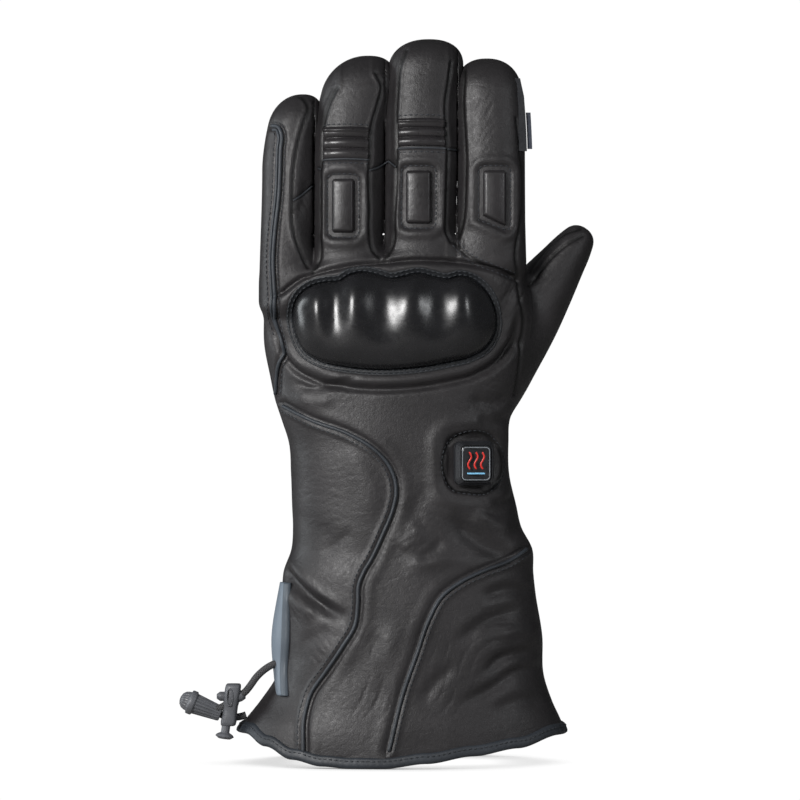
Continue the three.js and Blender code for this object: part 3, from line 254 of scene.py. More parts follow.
# Finger pads: middle across, middle height, width, height, and how high the slant of the lower edge rises.
PADS = {
    "ring": (-23.2, 260.2, 10.6, 25.0, 0.0),
    "middle": (11.9, 264.2, 12.0, 24.6, 0.0),
    "index": (47.2, 263.6, 11.0, 26.0, 5.0),
}
# Finger ribs: left, right, heights of the top and the low rib, height of the edging under them.
RIBS = {
    "ring": (-33.4, -10.4, 293.9, 284.0, 281.4),
    "middle": (1.5, 25.2, 298.2, 289.6, 286.6),
}

GRAIN_SIZE = 0.0011  # in metres, as the materials are
FRONT = np.array([0.0, -1.0, 0.0])
SLOPE_STEP = 0.25


def smoothstep(value, low, high):
    """0 below low, 1 above high, and t squared times (3 - 2 t) between them."""
    t = np.clip((value - low) / (high - low), 0.0, 1.0)
    return t * t * (3.0 - 2.0 * t)


def smooth_min(a, b, reach):
    """The lower of two distances, rounded where they are closer than reach."""
    h = np.maximum(reach - np.abs(a - b), 0.0) / reach
    return np.minimum(a, b) - h * h * reach * 0.25


def smooth_max(a, b, reach):
    """The higher of two distances, rounded where they are closer than reach."""
    return -smooth_min(-a, -b, reach)


def bell(value, middle, width):
    """A bell curve that is 1 at the middle."""
    return np.exp(-(((value - middle) / width) ** 2))


def signed_power(value, power):
    """A value's size raised to a power, with its sign kept."""
    return np.sign(value) * np.abs(value) ** power


def smooth_table(rows, count=600):
    """Rows of a table joined by cubics, whose slopes are those of the neighbouring rows."""
    rows = np.array(rows, dtype=float)
    place, columns = rows[:, 0], rows[:, 1:]
    slopes = np.gradient(columns, place, axis=0)
    dense = np.linspace(place[0], place[-1], count)
    i = np.clip(np.searchsorted(place, dense, side="right") - 1, 0, len(place) - 2)
    span = (place[i + 1] - place[i])[:, None]
    t = (dense - place[i])[:, None] / span
    value = (
        (2 * t**3 - 3 * t**2 + 1) * columns[i] + (t**3 - 2 * t**2 + t) * span * slopes[i]
        + (3 * t**2 - 2 * t**3) * columns[i + 1] + (t**3 - t**2) * span * slopes[i + 1]
    )
    return dense, value.T


def look_up(table, place):
    """Columns of a smooth table at a place."""
    dense, columns = table
    return [np.interp(place, dense, column) for column in columns]


BODY_TABLE = smooth_table(BODY_ROWS)
THUMB_TABLE = smooth_table(THUMB_ROWS)


def oval_distance(u, v, half_u, half_v, power):
    """For a superellipse, r, the power-th root of |u / half_u| ^ power + |v / half_v| ^ power, and the length
    of r's gradient. The distance outside is (r - 1) over that length, to first order."""
    pu = np.abs(u / half_u) ** power + 1e-9
    pv = np.abs(v / half_v) ** power + 1e-9
    total = pu + pv
    r = total ** (1.0 / power)
    slope = r / total * np.sqrt((pu / (np.abs(u) + 1e-3)) ** 2 + (pv / (np.abs(v) + 1e-3)) ** 2)
    return r, slope


def body_distance(x, y, z):
    """Cuff and hand: an oval at each height, closed by the slanting line of the webs."""
    half_x, half_y, mid_x, mid_y, power = look_up(BODY_TABLE, z)
    r, slope = oval_distance(x - mid_x, y - mid_y, half_x, half_y, power)
    top = FORK_LEVEL + FORK_SLOPE * (x - FORK_PLACE)
    return smooth_max((r - 1.0) / slope, z - top, FORK_ROUNDING)


def finger_distance(name, x, y, z):
    """A finger: an oval tube whose end is rounded by R = (r ^ m + cap ^ m) ^ (1 / m)."""
    root, joint, tip, half_root, half_joint, low, mid, high, depth, cap_height = FINGERS[name]
    bend = smoothstep(z, low, mid)
    reach = np.clip((z - mid) / (high - mid), 0.0, 1.2)
    middle = root + (joint - root) * bend + (tip - joint) * reach**1.8
    curl = FINGER_SET + FINGER_CURL * np.clip((z - low) / (high - low), 0.0, 1.2) ** 2
    taper = 1.0 - 0.06 * reach
    half = (half_root + (half_joint - half_root) * bend) * taper
    r, slope = oval_distance(x - middle, y - curl, half, depth * taper, FINGER_POWER)
    cap = np.clip((z - high + cap_height) / cap_height, 1e-4, None)
    total = (r**CAP_POWER + cap**CAP_POWER) ** (1.0 / CAP_POWER)
    across = (r / total) ** (CAP_POWER - 1.0) * slope
    upward = (cap / total) ** (CAP_POWER - 1.0) / cap_height
    distance = (total - 1.0) / np.sqrt(across**2 + upward**2)
    return smooth_max(distance, low - z, FORK_ROUNDING)


def thumb_place(x, y, z):
    """Coordinates along, across and through the thumb."""
    through = np.cross(THUMB_AXIS, THUMB_ACROSS)
    dx, dy, dz = x - THUMB_START[0], y - THUMB_START[1], z - THUMB_START[2]
    return [dx * d[0] + dy * d[1] + dz * d[2] for d in (THUMB_AXIS, THUMB_ACROSS, through)]


def thumb_distance(x, y, z):
    """The thumb: an oval at each place along its own slanting line, closed at both ends."""
    along, across, through = thumb_place(x, y, z)
    half_u, half_v = look_up(THUMB_TABLE, along)
    r, slope = oval_distance(across, through, half_u, half_v, THUMB_POWER)
    tube = smooth_max((r - 1.0) / slope, along - THUMB_LENGTH, THUMB_END_ROUNDING)
    return smooth_max(tube, THUMB_BACK - along, THUMB_END_ROUNDING)


def glove_distance(x, y, z, only=None):
    """The glove's form: body and fingers joined with small roundings, and the thumb with a larger one."""
    body = body_distance(x, y, z)
    if only:
        return smooth_min(body, finger_distance(only, x, y, z), FINGER_ROUNDING)
    form = smooth_min(body, thumb_distance(x, y, z), THUMB_ROUNDING)
    whole = form
    for name in FINGERS:
        whole = np.minimum(whole, smooth_min(form, finger_distance(name, x, y, z), FINGER_ROUNDING))
    return whole


def slope_of(points):
    """Gradient of the glove's distance by central differences."""
    x, y, z = points.T
    sides = [
        (glove_distance(x + dx, y + dy, z + dz) - glove_distance(x - dx, y - dy, z - dz)) / (2 * SLOPE_STEP)
        for dx, dy, dz in np.eye(3) * SLOPE_STEP
    ]
    return np.stack(sides, axis=1)


def surface_net(values, corner):
    """The surface where values change sign on a lattice. Each lattice cell that it crosses gets a vertex at
    the mean of the crossings on its edges, and each crossed edge joins the vertices of its four cells."""
    inside = values < 0.0
    shape = np.array(values.shape)
    spots, cells, turns = [], [], []
    for axis in range(3):
        low = tuple(slice(0, -1) if a == axis else slice(1, -1) for a in range(3))
        high = tuple(slice(1, None) if a == axis else slice(1, -1) for a in range(3))
        at = np.argwhere(inside[low] != inside[high])
        at += np.array([0 if a == axis else 1 for a in range(3)])
        step = np.eye(3, dtype=int)
        end = at + step[axis]
        first, last = values[tuple(at.T)], values[tuple(end.T)]
        spots.append(at + step[axis] * (first / (first - last))[:, None])
        b, c = step[(axis + 1) % 3], step[(axis + 2) % 3]
        around = np.stack([at, at - b, at - b - c, at - c], axis=1)
        cells.append(np.ravel_multi_index(tuple(around.reshape(-1, 3).T), shape).reshape(-1, 4))
        turns.append(inside[tuple(at.T)])
    spots, cells, turns = np.concatenate(spots), np.concatenate(cells), np.concatenate(turns)
    ids, faces = np.unique(cells, return_inverse=True)
    faces = faces.reshape(-1, 4)
    count = np.bincount(faces.ravel(), minlength=len(ids))
    points = np.stack(
        [np.bincount(faces.ravel(), np.repeat(spots[:, k], 4), len(ids)) / count for k in range(3)], axis=1
    )
    faces = np.where(turns[:, None], faces, faces[:, ::-1])
    layer = np.stack(np.unravel_index(ids, shape), axis=1)[:, 2]
    return points + corner, faces, layer + corner[2]


def mean_of_neighbours(points, faces):
    """Mean of the vertices that share an edge with each vertex."""
    edges = np.concatenate([faces[:, [0, 1]], faces[:, [1, 2]], faces[:, [2, 3]], faces[:, [3, 0]]])
    both = np.concatenate([edges, edges[:, ::-1]])
    count = np.bincount(both[:, 0], minlength=len(points))
    total = [np.bincount(both[:, 0], points[both[:, 1], k], len(points)) for k in range(3)]
    return np.stack(total, axis=1) / count[:, None]


def vertex_normals(points, faces):
    """Unit sums of the normals of the quads around each vertex, each the cross product of its diagonals."""
    flat = np.cross(points[faces[:, 2]] - points[faces[:, 0]], points[faces[:, 3]] - points[faces[:, 1]])
    total = [np.bincount(faces.ravel(), np.repeat(flat[:, k], 4), len(points)) for k in range(3)]
    total = np.stack(total, axis=1)
    return total / np.maximum(np.linalg.norm(total, axis=1), 1e-12)[:, None]


def line_distance(x, z, line, closed=False):
    """Nearest distance to a line of points, the side it is on, more than 0 to the right of the way along it,
    and the share of the way along."""
    line = np.array(line, dtype=float)
    ends = np.roll(line, -1, axis=0) if closed else line[1:]
    starts = line if closed else line[:-1]
    lengths = np.linalg.norm(ends - starts, axis=1)
    before = np.concatenate([[0.0], np.cumsum(lengths)[:-1]])
    best = np.full(x.shape, np.inf)
    side = np.ones(x.shape)
    share = np.zeros(x.shape)
    for (ax, az), (bx, bz), length, passed in zip(starts, ends, lengths, before):
        dx, dz = (bx - ax) / length, (bz - az) / length
        along = np.clip((x - ax) * dx + (z - az) * dz, 0.0, length)
        away = np.hypot(x - ax - along * dx, z - az - along * dz)
        near = away < best
        best = np.where(near, away, best)
        turn = np.sign(dz * (x - ax) - dx * (z - az))
        side = np.where(near, turn, side)
        share = np.where(near, (passed + along) / lengths.sum(), share)
    return best, side, share


def way_along(points):
    """Length of a line up to each of its points."""
    return np.concatenate([[0.0], np.cumsum(np.linalg.norm(np.diff(points, axis=0), axis=1))])


def even_line(points, count):
    """A line cut into a number of equal steps."""
    way = way_along(points)
    even = np.linspace(0.0, way[-1], count + 1)
    return np.stack([np.interp(even, way, column) for column in points.T], axis=1)


def smooth_line(line, step, closed=False):
    """A curve through points, a cubic between each two, cut into equal steps."""
    line = np.array(line, dtype=float)
    if closed:
        line = np.concatenate([line[-3:], line, line[:3]])
    place = way_along(line)
    dense, columns = smooth_table(np.column_stack([place, line]), 40 * len(line))
    points = columns.T
    if closed:
        keep = (dense >= place[3]) & (dense <= place[-3])
        points = points[keep]
    points = even_line(points, max(int(round(way_along(points)[-1] / step)), 4))
    return points[:-1] if closed else points


def near_line(x, z, line, reach):
    """Which places are inside the rectangle around a line, widened by reach."""
    low, high = np.min(line, axis=0) - reach, np.max(line, axis=0) + reach
    return (x > low[0]) & (x < high[0]) & (z > low[1]) & (z < high[1])


GUARD_CURVE = smooth_line(GUARD_LOOP, 1.0, closed=True)


def outside_guard(x, z):
    """Distance outside the knuckle shell's outline, less than 0 inside it."""
    away, side, _ = line_distance(x, z, GUARD_CURVE[::2], closed=True)
    return away * side


def slow_waves(x, z, seed, size):
    """Soft irregular swell: a sum of eight plane waves in different directions, from -1 to 1."""
    draw = np.random.default_rng(seed)
    total = np.zeros(x.shape)
    for _ in range(8):
        turn, phase, scale = draw.uniform(0, 2 * np.pi), draw.uniform(0, 2 * np.pi), draw.uniform(0.7, 1.5)
        total = total + np.sin((x * np.cos(turn) + z * np.sin(turn)) * 2 * np.pi / (size * scale) + phase)
    return total / 4.0


def fold_relief(x, z):
    """Height of all folds. A fold is a bell across its line, pushed to one side where it is a ledge."""
    height = np.zeros(x.shape)
    for line, depth, width, ledge in FOLDS:
        near = near_line(x, z, line, 4 * width)
        if not near.any():
            continue
        away, side, share = line_distance(x[near], z[near], smooth_line(line, 2.0))
        fade = smoothstep(share, 0.0, 0.3) * smoothstep(1.0 - share, 0.0, 0.3)
        lip = np.sign(side) * (away / width) * np.exp(-0.5 * (away / width) ** 2) * ledge
        height[near] -= depth * fade * (bell(away, 0.0, width) + lip)
    return height


def box_distance(x, z, middle_x, middle_z, width, height, radius):
    """Distance outside a rectangle with rounded corners, less than 0 inside it."""
    u = np.abs(x - middle_x) - width / 2 + radius
    v = np.abs(z - middle_z) - height / 2 + radius
    return np.hypot(np.maximum(u, 0), np.maximum(v, 0)) + np.minimum(np.maximum(u, v), 0) - radius


def pad_outline(name, x, z):
    """Distance outside a finger pad; the index finger's pad is cut off along a slant."""
    mid_x, mid_z, width, height, slant = PADS[name]
    away = box_distance(x, z, mid_x, mid_z, width, height, 1.6)
    if slant:
        low = mid_z - height / 2 + slant * (0.5 - (x - mid_x) / width)
        away = np.maximum(away, (low - z) * 0.9)
    return away


# The crease over the padded roll above the knuckle shell.
ROLL_TOP = [
    (-64.0, 214.0), (-52.0, 219.5), (-42.0, 226.5), (-22.0, 232.0), (0.0, 234.4), (17.0, 234.9),
    (35.0, 233.4), (48.0, 230.0), (57.0, 226.0), (66.0, 221.0),
]


def guard_relief(x, z):
    """Around the knuckle shell: a flat stitched ring, a padded roll, and a crease under and over the roll."""
    height = np.zeros(x.shape)
    near = (np.abs(x) < 64) & (z > 166) & (z < 250)
    away = outside_guard(x[near], z[near])
    above = smoothstep(z[near], 196.0, 214.0)
    ring = smoothstep(-away, -3.2, -1.8) * 0.9
    over = z[near] - np.interp(x[near], *smooth_line(ROLL_TOP, 1.0).T)
    share = np.clip(away / np.maximum(away - over, 0.5), 0.0, 1.0)
    roll = (1 - above) * 1.3 * bell(away, 5.6, 2.6) + above * 1.7 * np.sin(np.pi * share)
    low_crease = 2.1 * bell(away, 9.6, 1.7)
    inner = smoothstep(x[near], -57.0, -49.0) * smoothstep(-x[near], -61.0, -54.0)
    top_crease = 2.2 * bell(over, 0.0, 1.15) * inner
    height[near] = roll - ring - (1 - above) * low_crease - above * top_crease
    return height


# Where the leather falls back beside a panel: the seam, its side of it, how far back, and over what width.
FALLS = [
    ("little_inner", 1.0, 3.0, 9.0), ("ring_outer", -1.0, 1.6, 2.6), ("ring_inner", 1.0, 2.8, 7.0),
    ("middle_outer", -1.0, 1.6, 2.6), ("middle_inner", 1.0, 2.0, 4.5), ("index_outer", -1.0, 1.4, 2.6),
]
FINGER_SPANS = {
    "little": (-64.0, -36.4), "ring": (-37.2, -3.6), "middle": (-3.9, 30.2), "index": (29.8, 64.0),
}


def finger_falls(x, z):
    """How far back the strips between the fingers lie, less the raised lip of each panel beside them."""
    depth = np.zeros(x.shape)
    for name, sign, amount, width in FALLS:
        line = smooth_line(FINGER_SEAMS[name], 1.0)
        order = np.argsort(line[:, 1])
        edge = np.interp(z, line[order, 1], line[order, 0])
        low, high = FINGER_SPANS[name.split("_")[0]]
        inside = (x > low) & (x < high) & (z > 226.0)
        start = smoothstep(z, 232.0, 243.0)
        away = (x - edge) * sign
        lip = 0.45 * bell(away, -1.5, 0.9)
        depth += inside * start * (amount * smoothstep(away, 0.0, width) - lip)
    return depth


def crinkle(x, z, seed, size, turn):
    """Fine wrinkles along one direction: the narrow valleys of bent waves, from -1 to 0."""
    draw = np.random.default_rng(seed)
    along, across = np.cos(turn) * x + np.sin(turn) * z, np.cos(turn) * z - np.sin(turn) * x
    total = np.zeros(x.shape)
    for _ in range(3):
        scale = size * draw.uniform(0.7, 1.4)
        slow, quick, shift = draw.uniform(0, 6), draw.uniform(0, 6), draw.uniform(0, 6)
        bend = 0.9 * np.sin(along / (scale * 1.7) + slow) + 0.5 * np.sin(along / (scale * 0.9) + quick)
        wave = np.abs(np.sin(across / scale * np.pi + bend + shift))
        shown = smoothstep(slow_waves(x, z, int(draw.integers(1, 999)), size * 5), -0.1, 0.6)
        total -= (1.0 - wave) ** 4.0 * shown
    return total / 1.5


# Patches of fine wrinkles: middle, half width and half height, wrinkle size, direction, depth.
WRINKLES = [
    (-34.0, 124.0, 18.0, 24.0, 3.4, 0.25, 0.28),
    (-42.0, 140.0, 10.0, 9.0, 2.2, -0.2, 0.25),
    (8.0, 106.0, 12.0, 12.0, 3.2, 0.6, 0.4),
    (30.0, 118.0, 22.0, 14.0, 5.0, -0.45, 0.35),
    (52.0, 58.0, 18.0, 26.0, 6.0, 0.35, 0.5),
    (28.0, 44.0, 14.0, 20.0, 4.6, 1.1, 0.4),
    (-8.0, 40.0, 12.0, 26.0, 5.0, 1.2, 0.35),
    (-40.0, 64.0, 12.0, 18.0, 3.6, -0.9, 0.35),
    (-30.0, 176.0, 26.0, 7.0, 3.4, 0.12, 0.4),
    (44.0, 172.0, 16.0, 12.0, 4.0, -0.3, 0.45),
    (50.0, 208.0, 10.0, 16.0, 3.6, 0.9, 0.35),
    (-40.6, 250.0, 5.0, 18.0, 2.6, -0.9, 0.3),
    (-6.6, 303.0, 4.6, 12.0, 2.0, -0.7, 0.4),
    (-54.0, 285.0, 6.0, 16.0, 2.6, 0.7, 0.25),
    (44.0, 296.0, 12.0, 18.0, 3.6, 0.9, 0.3),
    (-18.0, 312.0, 12.0, 10.0, 2.6, 0.5, 0.14),
    (14.0, 318.0, 12.0, 14.0, 2.6, -0.4, 0.14),
    (60.0, 226.0, 16.0, 14.0, 4.0, 0.95, 0.4),
]


def wrinkle_relief(x, z):
    """Height of the fine wrinkles. Each patch has its own seed and fades out at its border."""
    height = np.zeros(x.shape)
    for number, (mid_x, mid_z, half_x, half_z, size, turn, depth) in enumerate(WRINKLES):
        away = np.hypot((x - mid_x) / half_x, (z - mid_z) / half_z)
        near = away < 1.3
        if near.any():
            shown = 1.0 - smoothstep(away[near], 0.55, 1.3)
            height[near] += depth * shown * crinkle(x[near], z[near], 40 + number, size, turn)
    return height


def finger_relief(x, z):
    """On each finger: the pad's frame is pressed in between two rolls, and so is the ground of the ribs."""
    height = np.zeros(x.shape)
    for name in PADS:
        mid_x, mid_z = PADS[name][:2]
        near = (np.abs(x - mid_x) < 14) & (np.abs(z - mid_z) < 26)
        away = pad_outline(name, x[near], z[near])
        height[near] += bell(away, 5.2, 1.9) * 0.7 - smoothstep(3.4 - away, 0.0, 1.2)
    for name in RIBS:
        left, right, top, low, _ = RIBS[name]
        band = smoothstep(z, low - 3.6, low - 2.6) * smoothstep(-z, -top - 1.2, -top - 0.2)
        span = smoothstep(x, left, left + 0.8) * smoothstep(-x, -right, -right + 0.8)
        height -= band * span * 0.8
    return height


BUTTON_SEAM = [
    (29.5, 127.9), (44.8, 127.9), (48.4, 131.0), (48.6, 149.5), (45.5, 153.0), (29.5, 153.0), (26.0, 150.0),
    (25.8, 131.5), (29.5, 127.9),
]
PLAIN_SIDE = 200.0  # below this height the side piping is single
ALL_SEAMS = [*FINGER_SEAMS.values(), *CROSS_SEAMS.values(), *HAND_SEAMS.values(), BUTTON_SEAM]


def seam_away(x, z):
    """Distance to the nearest sewn seam on the back of the hand."""
    best = np.full(x.shape, 9.0)
    for line in ALL_SEAMS:
        near = near_line(x, z, line, 4)
        if near.any():
            away, _, _ = line_distance(x[near], z[near], smooth_line(line, 1.5))
            best[near] = np.minimum(best[near], away)
    return best


def button_relief(x, z):
    """The leather is pressed in around the heat button and swells beyond it."""
    away = box_distance(x, z, 36.6, 141.0, 20.0, 22.5, 3.5)
    return -1.6 * smoothstep(3.6 - away, 0.0, 3.2) + bell(away, 7.4, 3.4)


def piping_relief(x, z):
    """A lip of leather beside each piping and a groove on its other side."""
    height = np.zeros(x.shape)
    for line, sign in ((LEFT_PIPING, 1.0), (RIGHT_PIPING, -1.0)):
        away, side, _ = line_distance(x, z, smooth_line(line, 2.0))
        signed = away * side * sign
        height += 0.55 * bell(signed, 2.4, 1.1) - 0.75 * bell(signed, -1.5, 1.0)
        height += 0.35 * bell(signed, -5.0, 2.6)
    away, _, _ = line_distance(x, z, smooth_line(SIDE_PIPING, 2.0))
    height += -0.9 * bell(away, 1.2, 0.9)
    return height


def front_share(normals):
    """How far a place belongs to the back of the hand, which faces the viewer."""
    return smoothstep(-normals[:, 1], 0.05, 0.4)


def relief(points, normals):
    """Height of everything that is pressed, sewn or folded in the leather, along its normals."""
    x, y, z = points.T
    front = front_share(normals)
    swell = 0.45 * slow_waves(x, z, 3, 34.0) * smoothstep(-z, -232.0, -200.0)
    total = guard_relief(x, z) + finger_relief(x, z) + fold_relief(x, z) + button_relief(x, z)
    total = total + piping_relief(x, z) - 0.75 * bell(seam_away(x, z), 0.0, 0.75) + wrinkle_relief(x, z)
    back = 0.6 * slow_waves(x, z, 8, 40.0) + 0.5 * crinkle(x, z + y, 5, 7.0, 0.1)
    back = back * smoothstep(normals[:, 1], 0.0, 0.5)
    return front * (total + swell) + (1.0 - front) * back


def dressed(points, normals, lift=0.0):
    """Points of the bare form moved to the leather's surface, and lifted off it."""
    fall = finger_falls(points[:, 0], points[:, 2]) * front_share(normals)
    moved = points + normals * (relief(points, normals) + lift)[:, None]
    moved[:, 1] += fall
    return moved


def lay(x, z, lift=0.0, plain=False):
    """Points on the back of the hand at x and z, lifted off the leather, and their normals. The form is
    found by walking along +Y until the distance is 0, and the relief is added along the normal."""
    x, z = np.array(x, dtype=float), np.array(z, dtype=float)
    y = np.full(x.shape, -48.0)
    for _ in range(40):
        y = y + 0.9 * np.clip(glove_distance(x, y, z), -1.0, 20.0)
        y = np.minimum(y, 4.0)
    points = np.stack([x, y, z], axis=-1).reshape(-1, 3)
    normals = slope_of(points)
    normals /= np.linalg.norm(normals, axis=1)[:, None]
    lift = np.broadcast_to(lift, x.shape).reshape(-1)
    points = points + normals * lift[:, None] if plain else dressed(points, normals, lift)
    return points.reshape(x.shape + (3,)), normals.reshape(x.shape + (3,))


def to_frame(points):
    """From the glove's own millimetres to the frame's metres."""
    return (np.asarray(points).reshape(-1, 3) + FRAME_SHIFT) * MM


def add_mesh(name, points, faces, material, slot):
    """A mesh object from points in millimetres and one array of faces, at the origin."""
    points = to_frame(points)
    faces = np.asarray(faces, dtype=np.int32)
    mesh = bpy.data.meshes.new(name)
    mesh.vertices.add(len(points))
    mesh.vertices.foreach_set("co", points.astype(np.float32).ravel())
    sides = faces.shape[1]
    mesh.loops.add(faces.size)
    mesh.loops.foreach_set("vertex_index", faces.ravel())
    mesh.polygons.add(len(faces))
    mesh.polygons.foreach_set("loop_start", np.arange(len(faces), dtype=np.int32) * sides)
    mesh.polygons.foreach_set("loop_total", np.full(len(faces), sides, dtype=np.int32))
    mesh.update(calc_edges=True)
    mesh.validate()
    mesh.shade_smooth()
    mesh.materials.append(material)
    obj = bpy.data.objects.new(name, mesh)
    bpy.context.scene.collection.objects.link(obj)
    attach(obj, "glove")
    return obj


def add_value(obj, name, values):
    """A number for each vertex of a mesh, for its material to read."""
    attribute = obj.data.attributes.new(name, "FLOAT", "POINT")
    attribute.data.foreach_set("value", np.asarray(values, dtype=np.float32))


def grid_faces(rows, columns, wrap=False):
    """Quads between neighbouring rows and columns of a grid, closed across the columns if wrap is true."""
    row, column = np.meshgrid(np.arange(rows - 1), np.arange(columns if wrap else columns - 1), indexing="ij")
    after = (column + 1) % columns
    here, above = row * columns, (row + 1) * columns
    return np.stack([q.ravel() for q in (here + column, here + after, above + after, above + column)], axis=1)


def tube_mesh(path, normals, radius, around=8, flat=1.0):
    """A tube along a path with blunt closed ends: rings in the plane of two vectors that are square to the
    path, one of them nearest to the given normals, along which the tube can be flatter. Returns points and
    quads."""
    path = np.asarray(path, dtype=float)
    tangent = np.gradient(path, axis=0)
    tangent /= np.linalg.norm(tangent, axis=1)[:, None]
    out = np.broadcast_to(normals, path.shape)
    out = out - tangent * np.sum(out * tangent, axis=1)[:, None]
    out /= np.linalg.norm(out, axis=1)[:, None]
    side = np.cross(tangent, out)
    angle = np.arange(around) / around * 2 * np.pi
    ring = (
        path[:, None] + side[:, None] * np.cos(angle)[None, :, None] * radius
        + out[:, None] * np.sin(angle)[None, :, None] * radius * flat
    )
    reach = radius * 0.7
    tips = path[0] - tangent[0] * reach, path[-1] + tangent[-1] * reach
    closing = [
        [np.tile(tip, (around, 1)), tip + (ring[end] - path[end]) * 0.5] for tip, end in zip(tips, (0, -1))
    ]
    rings = np.concatenate([closing[0], ring, closing[1][::-1]])
    faces = grid_faces(len(rings), around, wrap=True)
    return rings.reshape(-1, 3), faces[:, ::-1]


def join_parts(parts):
    """Several point and quad arrays as one."""
    points, faces, start = [], [], 0
    for part_points, part_faces in parts:
        points.append(part_points)
        faces.append(part_faces + start)
        start += len(part_points)
    return np.concatenate(points), np.concatenate(faces)


THREAD_SINK = 0.08  # how deep a stitch lies in the leather


def stitches(path, normals, thin=1.0):
    """Thread showing between needle holes: small arched spindles at equal steps along a path. A spindle is a
    ring of 5 points at 6 places, its height an arch, 1 - (2 t - 1) ^ 4, and its ends narrow."""
    pitch, radius = sizes().stitch_pitch, sizes().thread * thin
    length = pitch * 0.72
    way = way_along(path)
    count = max(int(way[-1] / pitch), 1)
    starts = (np.arange(count) + 0.5) * way[-1] / count - length / 2
    t = np.linspace(0.0, 1.0, 6)
    at = starts[:, None] + t[None] * length
    spine = np.stack([np.interp(at, way, column) for column in path.T], axis=-1)
    out = np.stack([np.interp(at, way, column) for column in normals.T], axis=-1)
    out /= np.linalg.norm(out, axis=-1)[..., None]
    arch = 1.0 - (2 * t - 1) ** 4
    spine = spine + out * (arch * radius * 0.9 - THREAD_SINK)[None, :, None]
    tangent = spine[:, -1] - spine[:, 0]
    tangent /= np.linalg.norm(tangent, axis=-1)[:, None]
    side = np.cross(tangent[:, None], out)
    angle = np.arange(5) / 5 * 2 * np.pi
    thick = radius * np.sqrt(np.maximum(1.0 - (2 * t - 1) ** 6, 0.05))
    thick = thick[None, :, None, None]
    cosine, sine = np.cos(angle)[None, None, :, None], np.sin(angle)[None, None, :, None]
    rings = spine[:, :, None] + side[:, :, None] * (cosine * thick) + out[:, :, None] * (sine * thick)
    one = grid_faces(len(t), 5, wrap=True)[:, ::-1]
    faces = (one[None] + (np.arange(count) * len(t) * 5)[:, None, None]).reshape(-1, 4)
    return rings.reshape(-1, 3), faces


def offset_line(line, away):
    """A line moved sideways by a distance, more than 0 to the right of the way along it."""
    tangent = np.gradient(line, axis=0)
    tangent /= np.linalg.norm(tangent, axis=1)[:, None]
    return line + np.column_stack([tangent[:, 1], -tangent[:, 0]]) * away


def sewn(line, away=0.0, lift=0.0, smooth=True, thin=1.0):
    """Stitches on the leather along a line in x and z, moved sideways by a distance."""
    curve = offset_line(smooth_line(line, 0.8) if smooth else line, away)
    points, normals = lay(curve[:, 0], curve[:, 1], lift)
    return stitches(points, normals, thin)


def laid_cord(line, lift, radius, around=8):
    """A cord on the leather along a line in x and z."""
    points, normals = lay(line[:, 0], line[:, 1], lift)
    return tube_mesh(points, normals, radius, around)


def new_material(name):
    """A material with its node tree and its shader."""
    material = bpy.data.materials.new(name)
    material.use_nodes = True
    tree = material.node_tree
    shader = tree.nodes["Principled BSDF"]
    return material, tree, shader


def node(tree, kind, inputs=(), **settings):
    """A node with its settings, and its inputs linked where a socket is given and set where a value is."""
    made = tree.nodes.new(kind)
    for key, value in settings.items():
        setattr(made, key, value)
    for key, value in dict(inputs).items():
        if isinstance(value, bpy.types.NodeSocket):
            tree.links.new(value, made.inputs[key])
        else:
            made.inputs[key].default_value = value
    return made


def ramp(tree, source, stops):
    """A colour ramp from stops of place and grey or colour."""
    made = node(tree, "ShaderNodeValToRGB", {"Fac": source})
    band = made.color_ramp
    while len(band.elements) < len(stops):
        band.elements.new(0.5)
    for element, (place, colour) in zip(band.elements, stops):
        element.position = place
        colour = (colour,) * 3 if isinstance(colour, (int, float)) else colour
        element.color = (*colour, 1.0)
    return made.outputs["Color"]


def maths(tree, operation, *values):
    """Result of a maths node."""
    return node(tree, "ShaderNodeMath", dict(enumerate(values)), operation=operation).outputs[0]


def noise(tree, place, scale, detail, roughness=0.5):
    """Plain noise over the object."""
    inputs = {"Vector": place, "Scale": scale, "Detail": detail, "Roughness": roughness}
    return node(tree, "ShaderNodeTexNoise", inputs).outputs["Fac"]


def bump(tree, height, strength, distance, **inputs):
    """Normals that follow a height."""
    inputs = {"Height": height, "Strength": strength, "Distance": distance, **inputs}
    return node(tree, "ShaderNodeBump", inputs).outputs[0]


def stretched(tree, source, low, high):
    """The usual range of a noise, spread from low to high."""
    inputs = {"Value": source, "From Min": 0.3, "From Max": 0.7, "To Min": low, "To Max": high}
    return node(tree, "ShaderNodeMapRange", inputs).outputs[0]


PLAIN_SPREAD = 0.12  # how far a plain colour varies


